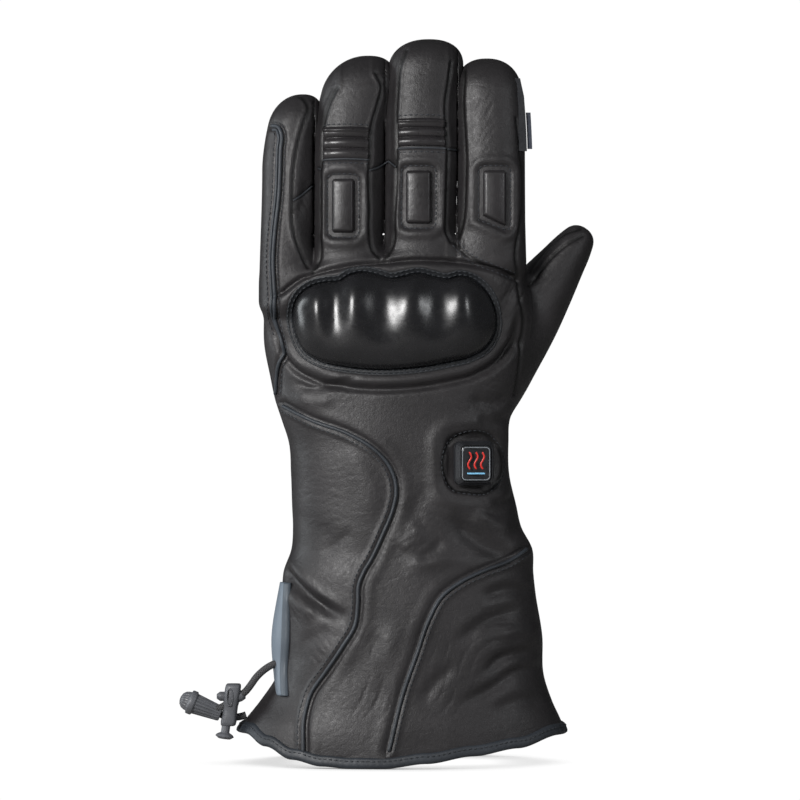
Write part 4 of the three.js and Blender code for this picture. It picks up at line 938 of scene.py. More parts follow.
def leather_material(name, colour, roughness, grain, seam_shade=False):
    """Dyed leather: base colour mottled by slow noise, pores from cell edges, and creases from a stretched
    noise that shows in patches. Where asked for, painted shade darkens the colour in the sewn grooves."""
    material, tree, shader = new_material(name)
    place = node(tree, "ShaderNodeTexCoord").outputs["Object"]
    slow = noise(tree, place, 42.0, 3.0, 0.55)
    fine = noise(tree, place, 520.0, 4.0, 0.6)
    cells = node(
        tree, "ShaderNodeTexVoronoi", {"Vector": place, "Scale": 1.0 / GRAIN_SIZE, "Randomness": 1.0},
        feature="DISTANCE_TO_EDGE",
    )
    light = tuple(min(c * 1.35, 1.0) for c in colour)
    dark = tuple(c * 0.72 for c in colour)
    dye_and_seam_shade = ramp(tree, slow, [(0.3, dark), (0.52, colour), (0.75, light)])
    if seam_shade:
        # Painted shade: the colour is darkened towards the seams, standing in for the shade in their grooves.
        away = node(tree, "ShaderNodeAttribute", attribute_name="seam_away").outputs["Fac"]
        shade = ramp(tree, maths(tree, "MULTIPLY", away, 0.3), [(0.0, 0.12), (0.16, 0.4), (0.36, 1.0)])
        # The colour sockets of a Mix node share their names with its number sockets, so they go by number.
        dye_and_seam_shade = node(
            tree, "ShaderNodeMix", {"Factor": 1.0, 6: dye_and_seam_shade, 7: shade}, data_type="RGBA", blend_type="MULTIPLY",
        ).outputs[2]
    tree.links.new(dye_and_seam_shade, shader.inputs["Base Color"])
    tree.links.new(stretched(tree, fine, roughness - 0.06, roughness + 0.08), shader.inputs["Roughness"])
    shader.inputs["Specular IOR Level"].default_value = 0.45
    pores = ramp(tree, cells.outputs["Distance"], [(0.0, 0.0), (0.12, 0.75), (0.4, 1.0)])
    bumps = bump(tree, pores, 0.16 * grain, 0.00012)
    bumps = bump(tree, fine, 0.3 * grain, 0.00035, Normal=bumps)
    stretch = node(
        tree, "ShaderNodeMapping", {"Vector": place, "Scale": (1.0, 1.0, 1.7), "Rotation": (0.0, 0.35, 0.0)},
    )
    creases = node(
        tree, "ShaderNodeTexNoise",
        {"Vector": stretch.outputs[0], "Scale": 150.0, "Detail": 5.0, "Roughness": 0.5, "Distortion": 0.6},
        noise_type="RIDGED_MULTIFRACTAL",
    )
    bumps = bump(tree, creases.outputs["Fac"], 0.14 * grain, 0.0006, Normal=bumps)
    tree.links.new(bumps, shader.inputs["Normal"])
    return material


def plain_material(name, colour, roughness, strength, size=900.0):
    """Moulded or coated stuff: a colour with slight variation, and a fine even bump."""
    material, tree, shader = new_material(name)
    place = node(tree, "ShaderNodeTexCoord").outputs["Object"]
    slow = noise(tree, place, 120.0, 3.0)
    fine = noise(tree, place, size, 3.0)
    low = tuple(c * (1.0 - PLAIN_SPREAD) for c in colour)
    high = tuple(min(c * (1.0 + PLAIN_SPREAD), 1.0) for c in colour)
    tree.links.new(ramp(tree, slow, [(0.35, low), (0.65, high)]), shader.inputs["Base Color"])
    rough = stretched(tree, fine, roughness * 0.88, min(roughness * 1.15, 1.0))
    tree.links.new(rough, shader.inputs["Roughness"])
    tree.links.new(bump(tree, fine, strength, 0.0002), shader.inputs["Normal"])
    return material


def repaint(name, material):
    """A CAD node that stays visible gets a finished material."""
    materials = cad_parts[name].data.materials
    materials.clear()
    materials.append(material)


def colour_property(name, description, default):
    """A colour that the panel shows."""
    return bpy.props.FloatVectorProperty(
        name=name, description=description, subtype="COLOR", size=3, default=default, min=0.0, max=1.0,
    )


class GloveSizes(bpy.types.PropertyGroup):
    """Sizes that set how fine the leather and its threads are."""
    lattice: bpy.props.FloatProperty(
        name="Lattice", description="Step of the lattice that the leather is cut from, in millimetres",
        default=0.8, min=0.6, max=3.0)
    stitch_pitch: bpy.props.FloatProperty(
        name="Stitch pitch", description="From one stitch to the next, in millimetres",
        default=2.5, min=1.0, max=6.0)
    thread: bpy.props.FloatProperty(
        name="Thread", description="Half the thickness of the sewing thread, in millimetres",
        default=0.27, min=0.1, max=0.6)
    cord: bpy.props.FloatProperty(
        name="Cord", description="Diameter of the drawcord",
        default=0.0034, min=0.001, max=0.01, unit="LENGTH")


class GloveColours(bpy.types.PropertyGroup):
    """Colours of the glove's materials."""
    leather: colour_property("Leather", "Colour of the dyed leather", (0.0195, 0.018, 0.0192))
    edging: colour_property("Edging", "Colour of the piping and binding", (0.026, 0.031, 0.038))
    thread: colour_property("Thread", "Colour of the sewing thread", (0.028, 0.032, 0.038))
    shell: colour_property("Knuckle shell", "Colour of the hard knuckle shell", (0.010, 0.010, 0.0112))
    tab: colour_property("Tab", "Colour of the rubber tab's face", (0.15, 0.185, 0.225))


def sizes():
    """The sizes that the panel shows."""
    return bpy.context.scene.glove_sizes


def colours():
    """The colours that the panel shows."""
    return bpy.context.scene.glove_colours


def thread_material():
    """The sewing thread, one material for all rows of stitches."""
    found = bpy.data.materials.get("sewing_thread")
    return found or plain_material("sewing_thread", tuple(colours().thread), 0.6, 0.4, 2500.0)


def edging_material():
    """The leather of piping and binding, one material for all of them."""
    found = bpy.data.materials.get("edging")
    return found or leather_material("edging", tuple(colours().edging), 0.5, 0.7)


PIXELS_PER_MM = 2.15  # of the photo
PHOTO_WIDTH = 800.0
SENSOR_WIDTH = 36.0
CAMERA_DISTANCE = 2.8
CAMERA_RISE = math.radians(1.7)
AIM = Vector((-0.0073, 0.0, 0.1698))
# Softboxes: name, place, size, power, colour.
LIGHTS = (
    ("key_softbox", (-0.95, -1.5, 0.8), (0.5, 0.6), 34.0, (1.0, 0.99, 0.985)),
    ("fill_softbox", (1.25, -1.25, 0.8), (0.25, 0.4), 5.0, (0.96, 0.98, 1.0)),
    ("side_softbox", (-1.7, 0.1, 0.5), (0.5, 1.2), 14.0, (0.92, 0.97, 1.0)),
)


class GLOVE_OT_stage(bpy.types.Operator):
    """Pale sweep, soft studio lights and the camera"""
    bl_idname = "glove.stage"
    bl_label = "Stage"

    def execute(self, context):
        scene = context.scene
        scene.view_settings.view_transform = "Standard"
        # The paper shows white to the camera, with a painted soft contact shadow from ambient occlusion, and
        # lights the glove only faintly.
        floor_material, tree, shader = new_material("stage_paper")
        shader.inputs["Base Color"].default_value = (0.42, 0.41, 0.4, 1.0)
        shader.inputs["Roughness"].default_value = 0.9
        shader.inputs["Specular IOR Level"].default_value = 0.1
        covered = node(tree, "ShaderNodeAmbientOcclusion", {"Distance": 0.035}, samples=12)
        shade = ramp(tree, covered.outputs["AO"], [(0.0, 0.16), (0.45, 0.62), (0.8, 1.0)])
        white = node(tree, "ShaderNodeEmission", {"Color": shade, "Strength": 1.02})
        rays = node(tree, "ShaderNodeLightPath").outputs["Is Camera Ray"]
        both = node(tree, "ShaderNodeMixShader", {0: rays, 1: shader.outputs[0], 2: white.outputs[0]})
        tree.links.new(both.outputs[0], tree.nodes["Material Output"].inputs["Surface"])
        # The sweep is flat, then turns up in a quarter circle and stands behind the glove.
        bend = np.linspace(0.0, np.pi / 2, 24)
        flat_end, radius = 3.4, 1.0
        profile = np.concatenate([
            [[-6.0, 0.0]], np.column_stack([flat_end + radius * np.sin(bend), radius * (1 - np.cos(bend))]),
            [[flat_end + radius, 7.0]],
        ])
        across = np.array([-7.0, 7.0])
        points = np.stack([
            np.repeat(across[None], len(profile), axis=0), np.repeat(profile[:, :1], 2, axis=1),
            np.repeat(profile[:, 1:], 2, axis=1),
        ], axis=-1).reshape(-1, 3)
        mesh = bpy.data.meshes.new("sweep")
        mesh.from_pydata(points.tolist(), [], grid_faces(len(profile), 2).tolist())
        mesh.shade_smooth()
        mesh.materials.append(floor_material)
        sweep = bpy.data.objects.new("sweep", mesh)
        scene.collection.objects.link(sweep)

        world = bpy.data.worlds.new("studio")
        world.use_nodes = True
        world_tree = world.node_tree
        background = world_tree.nodes["Background"]
        background.inputs["Color"].default_value = (0.94, 0.97, 1.0, 1.0)
        seen = node(world_tree, "ShaderNodeLightPath").outputs["Is Camera Ray"]
        level = node(world_tree, "ShaderNodeMapRange", {"Value": seen, "To Min": 0.10, "To Max": 1.05})
        world_tree.links.new(level.outputs[0], background.inputs["Strength"])
        scene.world = world

        for name, place, size, power, colour in LIGHTS:
            light = bpy.data.lights.new(name, "AREA")
            light.shape = "RECTANGLE"
            light.size, light.size_y = size
            light.energy = power
            light.color = colour
            lamp = bpy.data.objects.new(name, light)
            lamp.location = place
            lamp.rotation_euler = (AIM - Vector(place)).to_track_quat("-Z", "Y").to_euler()
            scene.collection.objects.link(lamp)

        camera_data = bpy.data.cameras.new("camera")
        camera = bpy.data.objects.new("camera", camera_data)
        camera_data.sensor_width = SENSOR_WIDTH
        camera_data.lens = SENSOR_WIDTH * CAMERA_DISTANCE / (PHOTO_WIDTH / PIXELS_PER_MM * MM)
        camera_data.clip_end = 30.0
        front = Vector((0.0, -math.cos(CAMERA_RISE), math.sin(CAMERA_RISE)))
        camera.location = AIM + Vector((0.0, -0.012, 0.0)) + front * CAMERA_DISTANCE
        camera.rotation_euler = (-front).to_track_quat("-Z", "Y").to_euler()
        scene.collection.objects.link(camera)
        scene.camera = camera
        return {"FINISHED"}


# The drawcord's strands, from where each leaves the cuff to the end of the bell.
UPPER_STRAND = [
    (-52.6, -9.0, 47.2), (-55.4, -9.2, 46.6), (-58.2, -9.5, 45.2), (-60.8, -9.8, 43.3),
    (-63.6, -10.2, 40.6), (-66.2, -10.6, 37.0), (-68.8, -11.0, 33.8), (-72.4, -11.4, 31.2),
    (-76.6, -11.8, 28.6), (-80.4, -12.0, 26.4), (-84.6, -12.1, 25.4), (-90.0, -12.2, 27.0), (-97.4, -12.2, 29.8),
]
LOWER_STRAND = [
    (-68.6, -6.5, 22.6), (-71.4, -6.8, 21.8), (-74.4, -7.0, 21.6), (-77.6, -7.1, 22.0), (-81.0, -7.6, 23.2),
    (-84.8, -8.3, 25.1), (-90.0, -8.6, 27.0), (-97.4, -8.6, 29.8),
]


BRAID_TURNS = 34.0
BRAID_STRANDS = 8.0


def braid_material():
    """Braided cord: two sets of slanting strands, along the curve's own length and around it."""
    material, tree, shader = new_material("braid")
    where = node(tree, "ShaderNodeTexCoord").outputs["UV"]
    parts = node(tree, "ShaderNodeSeparateXYZ", {"Vector": where})
    along = maths(tree, "MULTIPLY", parts.outputs["X"], BRAID_TURNS)
    around = maths(tree, "MULTIPLY", parts.outputs["Y"], BRAID_STRANDS)
    waves = []
    for kind in ("ADD", "SUBTRACT"):
        turn = maths(tree, "MULTIPLY", maths(tree, kind, along, around), math.pi)
        waves.append(maths(tree, "ABSOLUTE", maths(tree, "SINE", turn)))
    strands = maths(tree, "MAXIMUM", *waves)
    colour = ramp(tree, strands, [(0.3, (0.012, 0.012, 0.013)), (0.95, (0.06, 0.06, 0.063))])
    tree.links.new(colour, shader.inputs["Base Color"])
    shader.inputs["Roughness"].default_value = 0.75
    tree.links.new(bump(tree, strands, 0.7, 0.0004), shader.inputs["Normal"])
    return material


class GLOVE_OT_cords(bpy.types.Operator):
    """The drawcord's two strands between the cuff and the cord end"""
    bl_idname = "glove.cords"
    bl_label = "Drawcord"

    def execute(self, context):
        material = braid_material()
        lock, plunger, bell = [
            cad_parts[name] for name in ("cord_lock_body", "cord_lock_plunger", "cord_end_bell")
        ]
        for name, route, with_pieces in (
            ("drawcord_upper", UPPER_STRAND, [lock, plunger]), ("drawcord_lower", LOWER_STRAND, [bell]),
        ):
            route = to_frame(smooth_line(route, 1.6))
            curve = bpy.data.curves.new(name + "_braid", "CURVE")
            curve.dimensions = "3D"
            curve.bevel_depth = sizes().cord / 2
            curve.bevel_resolution = 4
            curve.use_fill_caps = True
            spline = curve.splines.new("POLY")
            spline.points.add(len(route) - 1)
            spline.points.foreach_set("co", np.column_stack([route, np.ones(len(route))]).ravel())
            spline.use_smooth = True
            curve.materials.append(material)
            strand = bpy.data.objects.new(name + "_braid", curve)
            context.scene.collection.objects.link(strand)
            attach(strand, "glove")
            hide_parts(name)
        return {"FINISHED"}


def hem_height(x, front):
    """Height of the hem above the floor at a place across, between its front and its back."""
    across, front_rise, back_rise = np.array(HEM_ROWS).T
    share = np.clip(x / HEM_HALF, -1.0, 1.0)
    i = np.clip(np.searchsorted(across, share, side="right") - 1, 0, len(across) - 2)
    t = (share - across[i]) / (across[i + 1] - across[i])
    ease = t * t * (3 - 2 * t)
    rise_front = front_rise[i] + (front_rise[i + 1] - front_rise[i]) * ease
    rise_back = back_rise[i] + (back_rise[i + 1] - back_rise[i]) * ease
    return rise_front + (rise_back - rise_front) * smoothstep(front, -0.35, 0.35)


def body_ring(turn, z, out):
    """Points round the body's oval at heights z, moved out of it by a distance."""
    half_x, half_y, mid_x, mid_y, power = look_up(BODY_TABLE, z)
    x = mid_x + (half_x + out) * signed_power(np.cos(turn), 2 / power)
    y = mid_y + (half_y + out) * signed_power(np.sin(turn), 2 / power)
    return np.stack([x, y, z], axis=-1)


class GLOVE_OT_leather(bpy.types.Operator):
    """Leather of cuff, hand, fingers and thumb, cut from one lattice"""
    bl_idname = "glove.leather"
    bl_label = "Leather"

    def execute(self, context):
        step = sizes().lattice
        origin = np.array([-92.0, -48.0, -4.0])
        split = int(round((STALL_SEAM - origin[2]) / step))
        # Blocks of the lattice, each with the only finger in it: cuff and hand, the thumb's tip, each finger.
        blocks = [
            (None, (-86, 104), (-46, 44), (-4, STALL_SEAM + 4)),
            (None, (72, 104), (-16, 44), (STALL_SEAM - 4, 262)),
        ]
        for name, row in FINGERS.items():
            middle = (min(row[:3]) + max(row[:3])) / 2
            blocks.append((name, (middle - 24, middle + 24), (-30, 26), (STALL_SEAM - 4, row[7] + 4)))
        points, faces, source, start = [], [], [], 0
        for number, (only, *spans) in enumerate(blocks):
            low = [int(math.floor((span[0] - o) / step)) for span, o in zip(spans, origin)]
            high = [int(math.ceil((span[1] - o) / step)) for span, o in zip(spans, origin)]
            axes = [origin[k] + np.arange(low[k], high[k] + 1) * step for k in range(3)]
            grid = np.meshgrid(*axes, indexing="ij", sparse=True)
            if number == 1:
                values = smooth_min(body_distance(*grid), thumb_distance(*grid), THUMB_ROUNDING)
            else:
                values = glove_distance(*grid, only=only)
            cell_points, cell_faces, layer = surface_net(values, np.array(low))
            top = layer[cell_faces].max(axis=1)
            keep = top < split if number == 0 else top >= split
            points.append(cell_points * step + origin)
            faces.append(cell_faces[keep] + start)
            source.append(np.full(keep.sum(), number))
            start += len(cell_points)
        points, faces, source = np.concatenate(points), np.concatenate(faces), np.concatenate(source)
        _, first, same = np.unique(np.round(points, 2), axis=0, return_index=True, return_inverse=True)
        points, faces = points[first], same.ravel()[faces]
        used, faces = np.unique(faces, return_inverse=True)
        points, faces = points[used], faces.reshape(-1, 4)

        # Vertices are evened out, and walked back to where the distance is 0.
        for _ in range(3):
            points = points + 0.5 * (mean_of_neighbours(points, faces) - points)
            gradient = slope_of(points)
            value = glove_distance(*points.T)
            points = points - gradient * (value / np.maximum((gradient**2).sum(axis=1), 0.05))[:, None]
        normals = slope_of(points)
        normals /= np.maximum(np.linalg.norm(normals, axis=1), 1e-9)[:, None]
        # Distance to the nearest seam, which sets the leather's painted seam shade; it is made large away from
        # the back of the hand.
        seam = seam_away(points[:, 0], points[:, 2]) + 9.0 * (1.0 - front_share(normals))
        shaped = dressed(points, normals)
        smooth_normals = vertex_normals(shaped, faces)

        # The hem's edge: faces under it are cut away.
        half_x, half_y, mid_x, mid_y, _ = look_up(BODY_TABLE, points[:, 2])
        u, v = (points[:, 0] - mid_x) / half_x, (points[:, 1] - mid_y) / half_y
        hem = hem_height(points[:, 0] - mid_x, v / np.maximum(np.hypot(u, v), 1e-6)) + 1.6
        above_hem = (shaped[:, 2] > hem)[faces].all(axis=1)
        middle = shaped[faces].mean(axis=1)
        along, _, _ = thumb_place(*middle.T)
        is_thumb = ((along > THUMB_SEAM) & (middle[:, 0] > 48) & (source == 0)) | (source == 1)
        is_finger = source >= 2
        is_body, below_wrist = ~is_finger & ~is_thumb, middle[:, 2] < WRIST_SEAM
        groups = {
            "cuff_leather": (is_body & below_wrist & above_hem, ["cuff_shell"]),
            "hand_leather": (is_body & ~below_wrist, ["hand_shell"]),
            "thumb_leather": (is_thumb, ["thumb_stall"]),
            "finger_leather": (is_finger, ["little_stall", "ring_stall", "middle_stall", "index_stall"]),
        }
        material = leather_material("leather", tuple(colours().leather), 0.47, 1.5, seam_shade=True)
        for name, (mask, nodes) in groups.items():
            ids, local = np.unique(faces[mask], return_inverse=True)
            obj = add_mesh(name, shaped[ids], local.reshape(-1, 4), material, "leather")
            obj.data.normals_split_custom_set_from_vertices(smooth_normals[ids].tolist())
            add_value(obj, "seam_away", seam[ids])
            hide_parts(*nodes)
        return {"FINISHED"}


LINING_TOP = 150.0
LINING_DEPTH = 3.4  # how far it is inside the leather's outer face


class GLOVE_OT_lining(bpy.types.Operator):
    """Soft lining seen through the open hem"""
    bl_idname = "glove.lining"
    bl_label = "Lining"

    def execute(self, context):
        heights = np.linspace(0.0, 1.0, 40)
        angle = np.linspace(0.0, 2 * np.pi, 120, endpoint=False)
        level, turn = np.meshgrid(heights, angle, indexing="ij")
        half_x = look_up(BODY_TABLE, 0.0)[0]
        hem = hem_height(half_x * np.cos(turn), np.sin(turn)) + 1.5
        rings = body_ring(turn, hem + (LINING_TOP - hem) * level, -LINING_DEPTH)
        middle = rings[-1:].mean(axis=1, keepdims=True)
        rings = np.concatenate([rings, middle + (rings[-1:] - middle) * 1e-3])
        faces = grid_faces(len(rings), len(angle), wrap=True)[:, ::-1]
        material = plain_material("fleece_lining", (0.02, 0.02, 0.022), 0.95, 0.9, 700.0)
        add_mesh("lining", rings, faces, material, "leather")
        return {"FINISHED"}


def knuckle_wave(x):
    """1 on a knuckle, 0 in the valley between two."""
    places, turns = np.array(KNUCKLES).T
    return 0.5 + 0.5 * np.cos(2 * np.pi * np.interp(x, places, turns))


class GLOVE_OT_guard(bpy.types.Operator):
    """Hard knuckle shell, with its stitched ring"""
    bl_idname = "glove.guard"
    bl_label = "Knuckle guard"

    def execute(self, context):
        loop = GUARD_CURVE
        # The shell's grid runs from a middle line out to its edge, s being the share of the way.
        share = np.concatenate([[0.0], np.linspace(0.05, 0.9, 30), np.linspace(0.92, 1.0, 10)])
        spine = np.column_stack([np.clip(loop[:, 0], -27.0, 29.0), np.full(len(loop), 207.5)])
        grid = spine[None] + (loop - spine)[None] * share[:, None, None]
        x, z = grid[..., 0], grid[..., 1]
        base, _ = lay(x, z, 0.0, plain=True)
        s = np.broadcast_to(share[:, None], x.shape)
        dome = np.maximum(1.0 - s**2.7, 0.0) ** 0.52
        # Knuckles are high above the middle and fade out towards the lower edge.
        fade = smoothstep(z, 186.0, 221.0)
        valley = (1.0 - knuckle_wave(x)) * fade
        lower = smoothstep(z, 214.0, 186.0)
        rise = 1.2 + dome * (9.4 - 3.4 * valley - 0.3 * lower)
        points = base + rise[..., None] * FRONT
        rim = base[-1] + np.array([0.0, 2.0, 0.0])
        points = np.concatenate([points, rim[None]])
        faces = grid_faces(len(points), len(loop), wrap=True)
        shell = plain_material("knuckle_shell", tuple(colours().shell), 0.26, 0.015, 400.0)
        obj = add_mesh("knuckle_shell", points, faces, shell, "hard_shell")
        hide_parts("knuckle_guard")

        # The ring: a narrow band whose profile is an arch between two grooves.
        across = np.linspace(0.0, 1.0, 9)
        closed = np.concatenate([loop, loop[:1]])
        bands = []
        for t in across:
            line = offset_line(closed, 0.2 + 2.9 * t)
            lift = 0.1 + 0.75 * (1.0 - (2 * t - 1) ** 4)
            bands.append(lay(line[:-1, 0], line[:-1, 1], lift)[0])
        faces = grid_faces(len(bands), len(loop), wrap=True)
        dark = leather_material("ring_leather", (0.012, 0.0135, 0.016), 0.5, 0.7)
        ring = add_mesh("guard_ring", bands, faces, dark, "edge_leather")
        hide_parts("guard_rim")
        parts = [sewn(closed, 1.0, lift=0.85, smooth=False), sewn(closed, 2.4, lift=0.8, smooth=False)]
        add_mesh("guard_stitches", *join_parts(parts), thread_material(), "edge_leather")
        return {"FINISHED"}


class GLOVE_OT_finger_pads(bpy.types.Operator):
    """Padded panels over the fingers' roots, each with its stitched frame"""
    bl_idname = "glove.finger_pads"
    bl_label = "Finger pads"

    def execute(self, context):
        material = leather_material("pad_leather", tuple(colours().leather), 0.36, 0.8)
        threads = []
        for name, (mid_x, mid_z, width, height, slant) in PADS.items():
            rows, columns = 91, 45
            v, u = np.linspace(-0.5, 0.5, rows), np.linspace(-0.5, 0.5, columns)
            grid_v, grid_u = np.meshgrid(v, u, indexing="ij")
            x, z = mid_x + grid_u * (width + 1.0), mid_z + grid_v * (height + 1.0)
            if slant:
                low = mid_z - height / 2 + slant * (0.5 - (x - mid_x) / width) - 0.6
                z = np.maximum(z, low)
            away = pad_outline(name, x, z)
            rise = 3.0 * np.clip(1.0 - np.clip((away + 1.7) / 1.9, 0.0, 1.0) ** 2, 0.0, 1.0) ** 0.5 - 0.9
            crown = 0.5 * (1.0 - (2 * grid_u) ** 2) * (1.0 - (2 * grid_v) ** 4)
            points, _ = lay(x, z, rise + crown)
            obj = add_mesh(name + "_pad_leather", points, grid_faces(rows, columns), material, "leather")
            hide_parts(name + "_pad")
            frame_line = rounded_box(mid_x, mid_z, width + 4.4, height + 4.4, 3.0, slant)
            threads.append(sewn(frame_line, lift=0.05, smooth=False))
        add_mesh("pad_stitches", *join_parts(threads), thread_material(), "leather")
        return {"FINISHED"}


def rounded_box(mid_x, mid_z, width, height, radius, slant=0.0):
    """A closed line round a rectangle with round corners, clockwise from its top right corner."""
    turn = np.linspace(0.0, np.pi / 2, 7)
    corners = [
        (1, 1, np.pi / 2 - turn), (1, -1, -turn), (-1, -1, -np.pi / 2 - turn), (-1, 1, np.pi - turn),
    ]
    parts = []
    for sign_x, sign_z, angle in corners:
        middle = np.array([mid_x + sign_x * (width / 2 - radius), mid_z + sign_z * (height / 2 - radius)])
        parts.append(middle + radius * np.column_stack([np.cos(angle), np.sin(angle)]))
    line = np.concatenate([*parts, parts[0][:1]])
    if slant:
        low = mid_z - height / 2 + slant * (0.5 - (line[:, 0] - mid_x) / width)
        line[:, 1] = np.maximum(line[:, 1], low)
    return even_line(line, max(int(way_along(line)[-1] / 0.8), 4))


class GLOVE_OT_finger_ribs(bpy.types.Operator):
    """Three padded ribs across the ring and middle fingers"""
    bl_idname = "glove.finger_ribs"
    bl_label = "Finger ribs"

    def execute(self, context):
        material = leather_material("rib_leather", tuple(colours().leather), 0.3, 0.5)
        threads = []
        for name, (left, right, top, low, edging) in RIBS.items():
            # A whole v is the ridge of a rib.
            rows, columns = 76, 70
            v, u = np.linspace(-0.5, 2.5, rows), np.linspace(0.0, 1.0, columns)
            grid_v, grid_u = np.meshgrid(v, u, indexing="ij")
            x = left + 0.3 + (right - left - 0.6) * grid_u
            arch = 0.5 * (1.0 - (2 * grid_u - 1) ** 2)
            z = low + grid_v * (top - low) / 2.0 + arch
            edge = np.clip(1.0 - np.abs(2 * grid_u - 1) ** 10, 0.0, 1.0) ** 0.5
            rise = 1.75 * np.abs(np.cos(np.pi * grid_v)) ** 0.5 * edge
            points, _ = lay(x, z, rise)
            obj = add_mesh(name + "_ribs_leather", points, grid_faces(rows, columns), material, "leather")
            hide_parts(name + "_ribs")
            across = np.linspace(left + 0.6, right - 0.6, 40)
            bow = 0.5 * (1.0 - (2 * np.linspace(0, 1, 40) - 1) ** 2)
            for level in (top + 3.6, edging - 1.9):
                threads.append(sewn(np.column_stack([across, level + bow]), smooth=False))
            threads.append(laid_cord(np.column_stack([across, edging + bow]), 0.35, 0.5))
        add_mesh("rib_stitches", *join_parts(threads), thread_material(), "leather")
        return {"FINISHED"}


class GLOVE_OT_piping(bpy.types.Operator):
    """Cord piping in the cuff's seams, with its stitches, and the welt down the little finger's side"""
    bl_idname = "glove.piping"
    bl_label = "Piping"

    def execute(self, context):
        threads = []
        for name, line, away in (
            ("cuff_piping_left", LEFT_PIPING, 2.5), ("cuff_piping_right", RIGHT_PIPING, -2.5),
            ("side_piping", SIDE_PIPING, -1.8),
        ):
            curve = smooth_line(line, 1.0)
            cords = [laid_cord(curve, 0.55, 0.85, 10)]
            if name == "side_piping":
                second = offset_line(curve[curve[:, 1] > PLAIN_SIDE], 1.7)
                cords.append(laid_cord(second, 0.35, 0.7, 10))
            obj = add_mesh(name + "_cord", *join_parts(cords), edging_material(), "binding")
            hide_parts(name)
            threads.append(sewn(line, away))
        upper = smooth_line(SIDE_PIPING, 1.0)
        threads.append(sewn(upper[upper[:, 1] > PLAIN_SIDE], 3.4, smooth=False))
        add_mesh("piping_stitches", *join_parts(threads), thread_material(), "binding")
        return {"FINISHED"}


class GLOVE_OT_seam_stitches(bpy.types.Operator):
    """Stitches beside the seams of the back of the hand and across the finger strips"""
    bl_idname = "glove.seam_stitches"
    bl_label = "Seam stitches"

    def execute(self, context):
        threads = [laid_cord(smooth_line(line, 0.8), 0.5, 0.42) for line in CROSS_SEAMS.values()]
        diagonal = HAND_SEAMS["index_diagonal"]
        for line, away in ((diagonal, -1.6), (diagonal, 1.6), (BUTTON_SEAM, 0.7)):
            threads.append(sewn(line, away, thin=0.85))
        add_mesh("seam_stitches", *join_parts(threads), thread_material(), "leather")
        return {"FINISHED"}


class GLOVE_OT_binding(bpy.types.Operator):
    """Folded binding sewn round the hem"""
    bl_idname = "glove.binding"
    bl_label = "Hem binding"

    def execute(self, context):
        around = 360
        turn = np.linspace(0.0, 2 * np.pi, around, endpoint=False)
        # Half of the profile outside and half inside: height over the hem, and how far out of the leather.
        profile = np.array([
            (5.2, 0.1), (5.1, 0.75), (4.4, 1.25), (3.5, 1.35), (2.6, 1.55), (1.6, 1.6), (0.7, 1.3),
            (0.1, 0.5),
            (0.0, -1.5), (0.1, -3.4), (0.8, -4.6), (2.6, -5.0), (4.4, -4.7), (5.1, -4.0), (5.2, -3.2),
        ])
        half_x, _, _, _, power = look_up(BODY_TABLE, 0.0)
        c, s = np.cos(turn), np.sin(turn)
        hem = hem_height(half_x * signed_power(c, 2 / power), s)
        puckers = 0.16 * np.sin(turn * 150)
        rings = [body_ring(turn, hem + up, out + (puckers if 0.5 < up < 5.0 else 0.0)) for up, out in profile]
        faces = grid_faces(len(rings), around, wrap=True)
        obj = add_mesh("hem_binding_tape", rings, faces[:, ::-1], edging_material(), "binding")
        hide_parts("hem_binding")
        path = body_ring(turn, hem + 3.7, 1.4)
        half_x, half_y = look_up(BODY_TABLE, path[:, 2])[:2]
        path = np.concatenate([path, path[:1]])
        out = np.column_stack([c / half_x, s / half_y, np.zeros(around)])
        out = np.concatenate([out, out[:1]])
        out /= np.linalg.norm(out, axis=1)[:, None]
        add_mesh("hem_stitches", *stitches(path, out), thread_material(), "binding")
        return {"FINISHED"}


